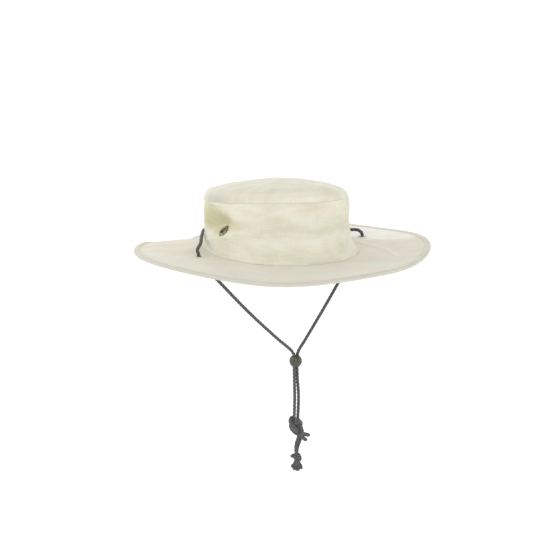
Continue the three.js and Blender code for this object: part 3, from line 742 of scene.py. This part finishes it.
# The top of the crown: one domed cloth with the seam rolled under its edge, and painted shade in
# grey along the seam on the wearer's right.
topDetail = {
    "swell": 0.45, "swellLength": 34, "pucker": 0.12, "puckers": 74, "seamClosed": 0.8,
    # painted shade: its strength, its angle and spread round, and how far in from the seam and how wide
    "paintedSeamShade": 0.64, "paintedSeamShadeAngle": 180, "paintedSeamShadeSpread": 16, "paintedSeamShadeIn": 3, "paintedSeamShadeWidth": 6,
}
topAngles = anglesRound(crownTopGrid["columns"])
topPoints = crownTop(topAngles, np.linspace(0, 1, crownTopGrid["rows"] + 1)[:-1, None])
topNormals = normalsOf(topPoints)
topRun = runAlong(topPoints)
topX, topY = topPoints[..., 0], topPoints[..., 1]
relief = topDetail["swell"] * ripples(topX, topY, topDetail["swellLength"], 11)
relief += topDetail["pucker"] * np.exp(-topRun / 5) * np.sin(
    np.radians(topAngles) * topDetail["puckers"] + 2 * ripples(topX, topY, 50, 12))
relief *= smooth(topRun, 0, 3)
inwards = levelled(topNormals, smooth(topRun, 0, 4))
seamRoll = sideDetail["seamRoll"] * np.exp(-(topRun / sideDetail["rollWidth"]) ** 2)
topOuter = topPoints + topNormals * relief[..., None] - inwards * seamRoll[..., None]
topOuter[..., 2] -= topDetail["seamClosed"] * tipSeam["gap"] * (1 - smooth(topRun, 0, 2))
topGrid = np.concatenate([(topOuter - inwards * crown["cloth"])[::-1], topOuter])
middle = crownTop(np.array(0.0), np.array(1.0))
caps = (middle - (0, 0, crown["cloth"]), middle)
# painted shade in grey, along the seam on the wearer's right
paintedSeamShade = bell(turnBetween(topDetail["paintedSeamShadeAngle"], topAngles), topDetail["paintedSeamShadeSpread"])
paintedSeamShade = topDetail["paintedSeamShade"] * paintedSeamShade * bell(topRun - topDetail["paintedSeamShadeIn"], topDetail["paintedSeamShadeWidth"])
crownTopPiece = addPiece("crownTop", gridMesh(
    topGrid, flatUv(topGrid), caps=caps, shades=np.concatenate([0 * paintedSeamShade, paintedSeamShade])), topDuck)
print("crown made")

# The brim: two layers stitched together, wavy, with one crease at the front and a hollow
# at the side, both on the wearer's left. A painted highlight runs along the crease's crest, and
# painted light brightens the brim past the hollow and round the cord's hole there.
brimDetail = {
    "swell": 0.5, "swellLength": 46, "pucker": 0.12, "puckers": 80, "crease": 1.2, "creaseWidth": 2,
    # painted highlight on the crease's crest, and painted light past the hollow and round the cord's hole
    "hollow": 5, "hollowWidth": 13, "paintedCreaseHighlight": 0.3, "paintedCreaseHighlightWidth": 1.6, "paintedLight": 0.6,
    "paintedLightFrom": (128, -25), "paintedLightHeading": 28, "paintedLightOver": (-17, 11),
    "paintedLightTurns": (15, 75), "paintedLightHole": 11,
}
crease = [(90, -30), (89, -44), (89, -57), (88, -73), (84.6, -89.6), (80, -105), (72.6, -125.3)]
hollow = [(122, 34), (127, 10), (130, -12), (136, -27), (146, -40)]

brimAngles = anglesRound(brim["columns"])
brimPoints = brimTop(brimAngles, np.linspace(0, 1, brim["rows"])[:, None])
brimNormals = normalsOf(brimPoints)
fromEdge = runAlong(brimPoints)
fromCrown = fromEdge[-1:] - fromEdge
brimX, brimY = brimPoints[..., 0], brimPoints[..., 1]


def farFrom(route):
    # the distance of each point of the brim from a line across it
    line, _ = curveThrough([(x, y, 0) for x, y in route], 2)
    return np.sqrt(np.min([(brimX - x) ** 2 + (brimY - y) ** 2 for x, y, _ in line], 0))


relief = brimDetail["swell"] * ripples(brimX, brimY, brimDetail["swellLength"], 21)
relief += brimDetail["pucker"] * np.exp(-fromCrown / 8) * np.sin(
    np.radians(brimAngles) * brimDetail["puckers"] + 2 * ripples(brimX, brimY, 60, 22))
relief += brimDetail["crease"] * bell(farFrom(crease), brimDetail["creaseWidth"])
relief -= brimDetail["hollow"] * bell(farFrom(hollow), brimDetail["hollowWidth"])
relief *= smooth(fromEdge, 6, 14) * smooth(fromCrown, 2, 6) * awayFrom(brimPoints, cordSeats, 7, 14)
brimOuter = brimPoints + brimNormals * relief[..., None]
brimGrid = np.concatenate([brimOuter, (brimOuter - brimNormals * brim["cloth"])[::-1]])
# painted light past the hollow, towards the back and round the cord's hole; painted highlight on the crease
heading = math.radians(brimDetail["paintedLightHeading"])
beyond = (brimPoints[..., :2] - brimDetail["paintedLightFrom"]) @ (math.cos(heading), math.sin(heading))
roundHole = bell(np.linalg.norm(brimPoints - cordSeats[1][0], axis=-1), brimDetail["paintedLightHole"])
towardsBack = 1 - smooth(np.degrees(np.arctan2(brimY, brimX)), *brimDetail["paintedLightTurns"])
paintedLight = np.maximum(smooth(beyond, *brimDetail["paintedLightOver"]) * towardsBack, roundHole)
paintedCreaseHighlight = brimDetail["paintedCreaseHighlight"] * bell(farFrom(crease), brimDetail["paintedCreaseHighlightWidth"])
pale = np.maximum(paintedCreaseHighlight, brimDetail["paintedLight"] * paintedLight) * smooth(fromEdge, 4, 8)
brimPiece = addPiece("brimCloth", gridMesh(
    brimGrid, flatUv(brimGrid), wrapRows=True,
    holes=holesRound(brimPoints, cordSeats, holeStitching["barrel"]),
    shades=np.concatenate([pale, 0 * pale])), doubledDuck)

# The tape folded over the brim's edge, sunk a little where its stitching holds it. Its section
# is worked out as reach beyond the brim's edge and height over the middle of the brim's cloth.
binding = {
    "reach": 5.5, "cloth": 0.7, "gap": 0.3, "stitchAt": 4.1, "stitchDepth": 0.25, "stitchWidth": 0.6,
    "thinner": 0.2, "round": 0.62, "pressed": 0.06, "pucker": 0.12, "puckerEvery": 3.2, "wobble": 0.25,
    # painted shade on the nose: its strength, and the reach over which it fades in
    "paintedEdgeShade": 0.55, "paintedEdgeShadeOver": (-1.2, 1.2), "columns": 760,
}
inner = brim["cloth"] / 2 + binding["gap"]
outer = inner + binding["cloth"]
pressed = brim["cloth"] / 2 + binding["pressed"]
nose = [(outer * binding["round"] * math.cos(math.radians(a)) - 0.2, outer * math.sin(math.radians(a)))
        for a in (0, 22, 45, 68)]
outerSide = []
for inset in (0.2, 1, 2, 3, 3.4, 3.75, 4.1, 4.45, 4.8, 5.15):
    sunk = binding["stitchDepth"] * bell(inset - binding["stitchAt"], binding["stitchWidth"])
    outerSide.append((-inset, outer - binding["thinner"] * smooth(inset, 1.5, 4) - sunk))
outerSide.append((-5.42, pressed + 0.4))
innerSide = [(-binding["reach"], pressed), (-3, pressed + 0.1), (0.1, inner), (0.35, 0)]
upperHalf = nose + outerSide + innerSide
section = upperHalf + [(reach, -height) for reach, height in upperHalf[-2:0:-1]]

bindAngles = anglesRound(binding["columns"])
edgePoints = brimTop(bindAngles, 0.0)
upward = surfaceNormal(brimTop, bindAngles, np.zeros_like(bindAngles))
ahead = unit(brimTop(bindAngles + 0.5, 0.0) - brimTop(bindAngles - 0.5, 0.0))
outwards = unit(np.cross(ahead, upward))
edgeRun = runAlong(np.concatenate([edgePoints, edgePoints[:1]]))
edgeX, edgeY = edgePoints[:, 0], edgePoints[:, 1]
wobble = binding["wobble"] * ripples(edgeX, edgeY, 60, 31)
puckers = binding["pucker"] * np.sin(
    2 * np.pi * edgeRun[:-1] / binding["puckerEvery"] + 3 * ripples(edgeX, edgeY, 80, 32))
rows, paintedEdgeShade = [], []
for reach, height in section:
    onFace = abs(height) > inner + 0.2
    ease = min(max(-reach - 1, 0) / 3, 1) if onFace else 0
    lift = height - brim["cloth"] / 2 + np.sign(height) * puckers * ease
    rows.append(edgePoints + outwards * (reach - wobble * ease)[:, None] + upward * lift[:, None])
    outside = reach > 0.5 or abs(height) > inner
    # painted shade on the tape's nose, over its outer edge
    paintedEdgeShade.append(binding["paintedEdgeShade"] * outside * (1 - smooth(-reach, *binding["paintedEdgeShadeOver"])))
bindUv = np.stack(np.meshgrid(edgeRun, runAlong(np.array(section))), -1)
bindingPiece = addPiece("brimBinding", gridMesh(
    np.array(rows), bindUv, wrapRows=True, shades=np.outer(paintedEdgeShade, np.ones(binding["columns"]))), biasTape)
print("brim and binding made")


def placed(points, centre, normal):
    # turns points made about +Z to stand in a seat
    turnTo = np.array(Vector((0, 0, 1)).rotation_difference(Vector(normal)).to_matrix())
    return points @ turnTo.T + centre


def lathe(profile, columns):
    # a closed section of radii and heights turned about +Z, and its uv
    profile = np.array(profile, float)
    ring = np.arange(columns) * 2 * np.pi / columns
    points = np.stack([np.outer(profile[:, 0], np.cos(ring)), np.outer(profile[:, 0], np.sin(ring)),
                       np.outer(profile[:, 1], np.ones(columns))], -1)
    wayRound = np.linspace(0, 2 * np.pi, columns + 1) * profile[:, 0].mean()
    return points, np.stack(np.meshgrid(wayRound, runAlong(profile)), -1)


# Brass, aged: dull and brown in the hollows, brighter where the rolled rim is rubbed.
agedBrass, tree, shader, tarnish, _ = mottledMaterial(
    "agedBrass", "5f5943", "97907a", {"Scale": 420.0, "Detail": 4.0}, (0.35, 0.68))
gloss = addNode(tree, "ShaderNodeMapRange", {"Value": tarnish.outputs[0], "To Min": 0.52, "To Max": 0.3})
tree.links.new(gloss.outputs[0], shader.inputs["Roughness"])
place = addNode(tree, "ShaderNodeTexCoord")
pits = addNode(tree, "ShaderNodeTexNoise", {"Vector": place.outputs["Object"], "Scale": 2200.0})
bump = addNode(tree, "ShaderNodeBump", {"Height": pits.outputs[0], "Strength": 0.25, "Distance": 0.05 * mm})
tree.links.new(bump.outputs[0], shader.inputs["Normal"])
shader.inputs["Metallic"].default_value = 1.0

# A vent eyelet's section: the barrel, the domed flange, the bore and the washer inside the crown.
ventSection = [
    (4.1, -1.65), (4.1, 0.08), (6.9, 0.08), (7.2, 0.24), (7.0, 0.6), (6.4, 1.0), (5.5, 1.34), (4.7, 1.45),
    (4.0, 1.3), (3.58, 0.9), (3.4, 0.35), (3.4, -2.1), (3.5, -2.5), (3.9, -2.8), (4.8, -2.75), (6.2, -2.5),
    (7.0, -2.2), (7.2, -1.95), (7.0, -1.72),
]
ventPieces = []
for index, (centre, normal) in enumerate(ventSeats):
    points, uv = lathe(ventSection, vent["columns"])
    mesh = gridMesh(placed(points, centre, normal), uv, wrapRows=True)
    ventPieces.append(addPiece(f"ventEyelet{index + 1}", mesh, agedBrass))

# Spun cotton thread, cream: a little glossier than the cloth, with its twist just showing.
cottonThread, tree, shader, twist, _ = mottledMaterial(
    "cottonThread", "dcd9c8", "ece9dc", {"Scale": 1600.0, "Detail": 2.0})
bump = addNode(tree, "ShaderNodeBump", {"Height": twist.outputs[0], "Strength": 0.4, "Distance": 0.08 * mm})
tree.links.new(bump.outputs[0], shader.inputs["Normal"])
shader.inputs["Roughness"].default_value = 0.72


def satinTree():
    # threads side by side over the edge of a hole, each an arch from the hole to the rim
    tree, given, result = newNodeTree(
        "satinStitches", Count="Int", Bore="Float", Rim="Float", Thread="Float", Depth="Float",
        Material="Material")
    width = addNode(tree, "ShaderNodeMath", {0: given["Rim"], 1: given["Bore"]}, operation="SUBTRACT")
    span = addNode(tree, "ShaderNodeMath", {0: given["Rim"], 1: given["Bore"]}, operation="ADD")
    halfWidth = addNode(tree, "ShaderNodeMath", {0: width.outputs[0], 1: 0.5}, operation="MULTIPLY")
    middleReach = addNode(tree, "ShaderNodeMath", {0: span.outputs[0], 1: 0.5}, operation="MULTIPLY")
    loop = addNode(tree, "GeometryNodeCurvePrimitiveCircle", {"Resolution": 14, "Radius": 1.0})
    scale = addNode(tree, "ShaderNodeCombineXYZ", {0: halfWidth.outputs[0], 1: given["Depth"], 2: 1.0})
    oval = addNode(tree, "GeometryNodeTransform", {"Geometry": loop.outputs[0], "Scale": scale.outputs[0]})
    upright = addNode(tree, "GeometryNodeTransform",
                      {"Geometry": oval.outputs[0], "Rotation": (math.pi / 2, 0, 0)})
    section = addNode(tree, "GeometryNodeCurvePrimitiveCircle", {"Resolution": 6, "Radius": given["Thread"]})
    thread = addNode(tree, "GeometryNodeCurveToMesh", {"Curve": upright.outputs[0], 1: section.outputs[0]})
    ring = addNode(tree, "GeometryNodeCurvePrimitiveCircle",
                   {"Resolution": given["Count"], "Radius": middleReach.outputs[0]})
    spots = addNode(tree, "GeometryNodeCurveToPoints", {"Curve": ring.outputs[0]}, mode="EVALUATED")
    index = addNode(tree, "GeometryNodeInputIndex")
    perTurn = addNode(tree, "ShaderNodeMath", {0: 2 * math.pi, 1: given["Count"]}, operation="DIVIDE")
    bearing = addNode(tree, "ShaderNodeMath", {0: index.outputs[0], 1: perTurn.outputs[0]},
                      operation="MULTIPLY")
    facing = addNode(tree, "ShaderNodeCombineXYZ", {2: bearing.outputs[0]})
    layCopies(tree, given, result,
              {"Points": spots.outputs[0], "Instance": thread.outputs[0], "Rotation": facing.outputs[0]})
    return tree


satinStitches = satinTree()
satinSettings = {
    "Count": holeStitching["threads"], "Bore": holeStitching["bore"], "Rim": holeStitching["rim"],
    "Thread": holeStitching["thread"], "Depth": holeStitching["depth"], "Material": cottonThread,
}
cordEyelets = []
for name, (centre, normal) in zip(cordPlaces, cordSeats):
    ring = bakeNodes(bpy.data.meshes.new("start"), satinStitches, satinSettings, name)
    moveVertices(ring, lambda co: placed(co - (0, 0, brim["cloth"] / 2), centre, normal) * mm)
    ring.data.shade_smooth()
    cordEyelets.append(ring)
print("eyelets made")


def stitchRowTree():
    # a row of lockstitches along a path: a short round thread, a gap, and the next
    tree, given, result = newNodeTree(
        "stitchRow", Pitch="Float", Length="Float", Thread="Float", Material="Material")
    path = addNode(tree, "GeometryNodeMeshToCurve", {0: given["Geometry"]})
    spaced = addNode(tree, "GeometryNodeResampleCurve", {"Curve": path.outputs[0], "Length": given["Pitch"]},
                     mode="LENGTH")
    spots = addNode(tree, "GeometryNodeCurveToPoints", {"Curve": spaced.outputs[0]}, mode="EVALUATED")
    stitch = addNode(tree, "GeometryNodeMeshUVSphere", {"Segments": 6, "Rings": 6, "Radius": 0.5})
    size = addNode(tree, "ShaderNodeCombineXYZ", {0: given["Thread"], 1: given["Thread"], 2: given["Length"]})
    facing = addNode(tree, "FunctionNodeAlignRotationToVector", {"Vector": spots.outputs["Tangent"]},
                     axis="Z")
    layCopies(tree, given, result, {
        "Points": spots.outputs[0], "Instance": stitch.outputs[0], "Rotation": facing.outputs[0],
        "Scale": size.outputs[0],
    })
    return tree


stitchRow = stitchRowTree()
# Each stitch is 2.5 mm of half-millimetre thread, and the next starts 0.6 mm on.
stitchSettings = {"Pitch": 0.0031, "Length": 0.0025, "Thread": 0.00052, "Material": cottonThread}


def stitching(name, points):
    # stitches along a closed ring of points, half sunk in the cloth
    path = bpy.data.meshes.new(name)
    edges = [(i, (i + 1) % len(points)) for i in range(len(points))]
    path.from_pydata([tuple(p) for p in (points * mm).tolist()], edges, [])
    row = bakeNodes(path, stitchRow, stitchSettings, name)
    row.data.shade_smooth()
    return row


def rowOn(points, normals, run, distance, lift=0.05):
    # the ring of points this far along each column of a grid, and just above it
    ring = []
    for column in range(points.shape[1]):
        at, up = ([np.interp(distance, run[:, column], values[:, column, k]) for k in range(3)]
                  for values in (points, normals))
        ring.append(np.array(at) + np.array(up) * lift)
    return np.array(ring)


topRow, footRow = sideDetail["rowsAt"]
stitchPieces = [
    stitching("topSeamStitches", rowOn(sideOuter[::-1], sideNormals[::-1], toTop[::-1], topRow)),
    stitching("footStitches", rowOn(sideOuter, sideNormals, heightUp, footRow)),
]
for name, side in (("bindingStitchesTop", 1), ("bindingStitchesUnder", -1)):
    lift = side * (outer - binding["thinner"] - binding["stitchDepth"] + puckers)
    ring = edgePoints - outwards * binding["stitchAt"] + upward * (lift - brim["cloth"] / 2)[:, None]
    stitchPieces.append(stitching(name, ring))
print("stitches made")

# Moulded acetal, olive brown: dull, faintly mottled, with a soft gleam.
mouldedAcetal, tree, shader, _, blotches = mottledMaterial(
    "mouldedAcetal", "242520", "5b5c53", {"Scale": 420.0, "Detail": 3.0}, (0.38, 0.64))
bump = addNode(tree, "ShaderNodeBump",
               {"Height": blotches.outputs[0], "Strength": 0.4, "Distance": 0.15 * mm})
tree.links.new(bump.outputs[0], shader.inputs["Normal"])
shader.inputs["Roughness"].default_value = 0.5
shader.inputs["IOR"].default_value = 1.48

# The bead: one moulded barrel with an oblong hole for both strands.
bead = {
    "x": 17, "y": -8, "z": -142, "width": 15.2, "height": 12.6, "strandGap": 4.2, "hole": 2.12, "columns": 64,
}
beadRows = [
    # share of the way from the hole to the barrel, and the barrel's radius and height as shares
    (0, 0.61, -0.9), (0.06, 0.61, -0.975), (0.5, 0.61, -1), (1, 0.61, -0.99), (1, 0.66, -0.95),
    (1, 0.74, -0.86), (1, 0.83, -0.72), (1, 0.91, -0.53), (1, 0.975, -0.28), (1, 1, 0), (1, 0.975, 0.28),
    (1, 0.91, 0.53), (1, 0.83, 0.72), (1, 0.74, 0.86), (1, 0.66, 0.95), (1, 0.61, 0.99), (0.5, 0.61, 1),
    (0.06, 0.61, 0.975), (0, 0.61, 0.9),
]
ring = np.arange(bead["columns"]) * 2 * np.pi / bead["columns"]
rim = np.stack([np.cos(ring), np.sin(ring)], -1)
slot = rim * bead["hole"]
slot[:, 0] += np.sign(rim[:, 0]) * np.minimum(np.abs(rim[:, 0]) * 9, bead["strandGap"] / 2)
beadPoints = []
for share, radius, height in beadRows:
    flatRing = slot + (rim * radius * bead["width"] / 2 - slot) * share
    level = np.full((bead["columns"], 1), height * bead["height"] / 2)
    beadPoints.append(np.concatenate([flatRing, level], 1))
beadPoints = np.array(beadPoints) + (bead["x"], bead["y"], bead["z"])
beadUv = np.stack(np.meshgrid(np.arange(bead["columns"] + 1) * 0.7, np.arange(len(beadRows)) * 1.2), -1)
beadPiece = addPiece("cordBead", gridMesh(beadPoints, beadUv, wrapRows=True), mouldedAcetal)

# The big knot: the doubled cord in crossing turns round a slanting line, and its two cut stubs.
knot = {
    "x": 18.2, "y": -8, "z": -226.2, "long": 12.2, "short": 6.5, "deep": 4.2, "lean": 28, "strand": 2.15,
    "apart": 1.9, "steps": 28, "stub": 2.25, "heart": (5.6, 4.6, 11.4),
}
knotStubs = [
    [(20, -10, -233), (28.5, -10, -238.6), (36, -10, -242)],
    [(21, -11, -235), (26, -11, -242.4), (31.2, -11, -247)],
]


def knotTurns(offset):
    # the line of one of the knot's two strands
    down, across = math.cos(math.radians(knot["lean"])), math.sin(math.radians(knot["lean"]))
    points = []
    for step in range(knot["steps"] + 1):
        t = step * 4 * math.pi / knot["steps"] + 0.35
        reach = 0.72 + 0.3 * math.cos(1.5 * t)
        along = knot["long"] * reach * math.sin(t) + offset * math.cos(t)
        aside = knot["short"] * reach * math.cos(t) - offset * 0.4 * math.sin(t)
        points.append((knot["x"] + along * across + aside * down,
                       knot["y"] + (knot["deep"] + 0.3 * offset) * math.sin(1.5 * t),
                       knot["z"] - along * down + aside * across))
    return points


def ellipsoid(centre, sizes, lean=0):
    # the lumpy heart of a knot, which fills it between its strands
    rows, columns = 20, 28
    theta = (np.arange(rows) + 0.5) * np.pi / rows
    ring = np.arange(columns) * 2 * np.pi / columns
    points = np.stack([np.outer(np.sin(theta), np.cos(ring)), np.outer(np.sin(theta), np.sin(ring)),
                       np.outer(-np.cos(theta), np.ones(columns))], -1)
    bumps = 1 + 0.05 * np.sin(9 * ring + 5 * theta[:, None]) * np.sin(7 * theta[:, None])
    points = points * bumps[..., None] * sizes
    c, s = math.cos(math.radians(-lean)), math.sin(math.radians(-lean))
    points = points @ np.array([[c, 0, s], [0, 1, 0], [-s, 0, c]]).T + centre
    ends = [np.array(centre) + (s * z, 0, c * z) for z in (-sizes[2], sizes[2])]
    uv = np.stack(np.meshgrid(np.arange(columns + 1) * 1.2, np.arange(rows) * 1.2), -1)
    return gridMesh(points, uv, caps=ends, shades=np.full((rows, columns), 0.3))


def joined(name, meshes, material):
    # several closed forms as one piece
    pieces = [addPiece(name, mesh, material) for mesh in meshes]
    with bpy.context.temp_override(active_object=pieces[0], selected_editable_objects=pieces):
        bpy.ops.object.join()
    pieces[0].name = pieces[0].data.name = name
    return pieces[0]


knotMeshes = [braidTube(knotTurns(side * knot["apart"]), knot["strand"])[0] for side in (1, -1)]
knotMeshes += [braidTube(stub, knot["stub"], (0, 0.25))[0] for stub in knotStubs]
knotMeshes.append(ellipsoid((knot["x"], knot["y"], knot["z"]), knot["heart"], knot["lean"]))
bigKnot = joined("cordKnot", knotMeshes, braidedPolyester)

# The tail knot: one overhand turn of both strands with a cut stub, and six locks of the frayed
# ends under it, long and short in turn.
tail = {
    "x": 20.4, "y": -8, "z": -268.5, "wide": 3.6, "deep": 3.2, "strand": 1.7, "steps": 16, "stub": 2.2,
    "heart": (4.2, 3.8, 5.8), "locks": 6, "lock": 1.25, "drops": (16, 13.5),
}


def tailTurns(offset):
    # the line of one of the two strands round the tail knot
    points = []
    for step in range(tail["steps"] + 1):
        t = step * 3.2 * math.pi / tail["steps"] + offset
        tuckedIn = 1 - 0.6 * max(1 - step / 3, 0) - 0.6 * max(1 - (tail["steps"] - step) / 3, 0)
        points.append((tail["x"] + tail["wide"] * tuckedIn * math.cos(t),
                       tail["y"] + tail["deep"] * tuckedIn * math.sin(t),
                       tail["z"] + 4 - step * 9 / tail["steps"] - 1.4 * math.cos(t)))
    return points


x, y, z = tail["x"], tail["y"], tail["z"]
tailMeshes = [braidTube(tailTurns(offset), tail["strand"])[0] for offset in (2.4, 5.5)]
tailStub = [(x - 1, y, z + 1.5), (x - 5.5, y - 1, z + 4), (x - 10, y - 1.5, z + 4.2)]
tailMeshes.append(braidTube(tailStub, tail["stub"], (0, 0.25))[0])
tailMeshes.append(ellipsoid((x, y, z), tail["heart"]))
for index in range(tail["locks"]):
    t = index * 2 * math.pi / tail["locks"]
    lock = [(x + 1.5 * math.cos(t), y + 1.5 * math.sin(t), z - 3),
            (x - 0.6 + 3 * math.cos(t), y + 2.8 * math.sin(t), z - 9),
            (x - 1.2 + 5.4 * math.cos(t), y + 4.4 * math.sin(t), z - tail["drops"][index % 2])]
    tailMeshes.append(braidTube(lock, tail["lock"], (0, 0.8))[0])
tailKnot = joined("tailKnot", tailMeshes, braidedPolyester)


def frayedTree():
    # single fibres fanning out of the cut ends, each bent a little its own way
    tree, given, result = newNodeTree(
        "frayedFibres", Count="Int", Length="Float", Fibre="Float", Seed="Int", Material="Material")
    line = addNode(tree, "GeometryNodeCurvePrimitiveLine", {"Start": (0, 0, 0), "End": (0, 0, -1)})
    bent = addNode(tree, "GeometryNodeResampleCurve", {"Curve": line.outputs[0], "Count": 7})
    spots = addNode(tree, "GeometryNodePoints", {"Count": given["Count"]})
    reach = addNode(tree, "ShaderNodeCombineXYZ", {0: 1.0, 1: 1.0, 2: 0.25})
    low = addNode(tree, "ShaderNodeVectorMath", {0: reach.outputs[0], "Scale": -1.0}, operation="SCALE")
    scatter = addNode(tree, "FunctionNodeRandomValue",
                      {0: low.outputs[0], 1: reach.outputs[0], "Seed": given["Seed"]},
                      data_type="FLOAT_VECTOR")
    start = addNode(tree, "ShaderNodeVectorMath", {0: scatter.outputs[0], "Scale": 0.0022}, operation="SCALE")
    roots = addNode(tree, "GeometryNodeSetPosition",
                    {"Geometry": spots.outputs[0], "Position": start.outputs[0]})
    lean = addNode(tree, "ShaderNodeVectorMath", {0: scatter.outputs[0], 1: (-0.34, 0.34, 0)},
                   operation="MULTIPLY")
    parts = addNode(tree, "ShaderNodeSeparateXYZ", {0: lean.outputs[0]})
    facing = addNode(tree, "ShaderNodeCombineXYZ", {0: parts.outputs[1], 1: parts.outputs[0], 2: 0.0})
    howLong = addNode(tree, "FunctionNodeRandomValue", {2: 0.72, 3: 1.0, "Seed": 7})
    size = addNode(tree, "ShaderNodeMath", {0: howLong.outputs[1], 1: given["Length"]}, operation="MULTIPLY")
    fibres = addNode(tree, "GeometryNodeInstanceOnPoints", {
        "Points": roots.outputs[0], "Instance": bent.outputs[0], "Rotation": facing.outputs[0],
        "Scale": size.outputs[0],
    })
    real = addNode(tree, "GeometryNodeRealizeInstances", {0: fibres.outputs[0]})
    along = addNode(tree, "GeometryNodeSplineParameter")
    where = addNode(tree, "GeometryNodeInputPosition")
    frizz = addNode(tree, "ShaderNodeTexNoise", {"Vector": where.outputs[0], "Scale": 260.0})
    centred = addNode(tree, "ShaderNodeVectorMath", {0: frizz.outputs["Color"], 1: (0.5, 0.5, 0.5)},
                      operation="SUBTRACT")
    amount = addNode(tree, "ShaderNodeMath", {0: along.outputs["Factor"], 1: 0.009}, operation="MULTIPLY")
    push = addNode(tree, "ShaderNodeVectorMath", {0: centred.outputs[0], "Scale": amount.outputs[0]},
                   operation="SCALE")
    moved = addNode(tree, "GeometryNodeSetPosition", {"Geometry": real.outputs[0], "Offset": push.outputs[0]})
    section = addNode(tree, "GeometryNodeCurvePrimitiveCircle", {"Resolution": 4, "Radius": given["Fibre"]})
    threads = addNode(tree, "GeometryNodeCurveToMesh",
                      {"Curve": moved.outputs[0], 1: section.outputs[0], "Fill Caps": True})
    dressed = addNode(tree, "GeometryNodeSetMaterial",
                      {"Geometry": threads.outputs[0], "Material": given["Material"]})
    tree.links.new(dressed.outputs[0], result[0])
    return tree


# Loose polyester filaments of the cord: dark grey, with a slight gloss.
looseFilament, tree, shader, _, _ = mottledMaterial("looseFilament", "3a3b3d", "75777a", {"Scale": 700.0})
shader.inputs["Roughness"].default_value = 0.6

settings = {"Count": 460, "Length": 0.013, "Fibre": 0.00022, "Seed": 4, "Material": looseFilament}
tassel = bakeNodes(bpy.data.meshes.new("start"), frayedTree(), settings, "tailFibres")
moveVertices(tassel, lambda co: co + np.array((x - 0.6, y, z - 4)) * mm)
print("bead, knots and frayed ends made")

# Each piece rides on the hat's one body and stands for the solid of the same shape.
standsFor = {
    crownSidePiece: ("cotton", "crown_side"),
    crownTopPiece: ("cotton", "crown_tip"),
    brimPiece: ("cotton", "brim"),
    bindingPiece: ("tape", "brim_binding"),
    chinCord: ("braid", "chin_cord"),
    tailCords[0]: ("braid", "tail_cord_1"),
    tailCords[1]: ("braid", "tail_cord_2"),
    beadPiece: ("bead", "cord_bead"),
    bigKnot: ("braid", "cord_knot"),
    tailKnot: ("braid", "tail_knot"),
    cordEyelets[0]: ("thread", "cord_eyelet_right"),
    cordEyelets[1]: ("thread", "cord_eyelet_left"),
}
for index, piece in enumerate(ventPieces):
    standsFor[piece] = ("brass", f"vent_eyelet_{index + 1}")
for piece, (slotName, node) in standsFor.items():
    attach(piece, "root")
    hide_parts(node)
for piece in stitchPieces:
    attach(piece, "root")
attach(tassel, "root")
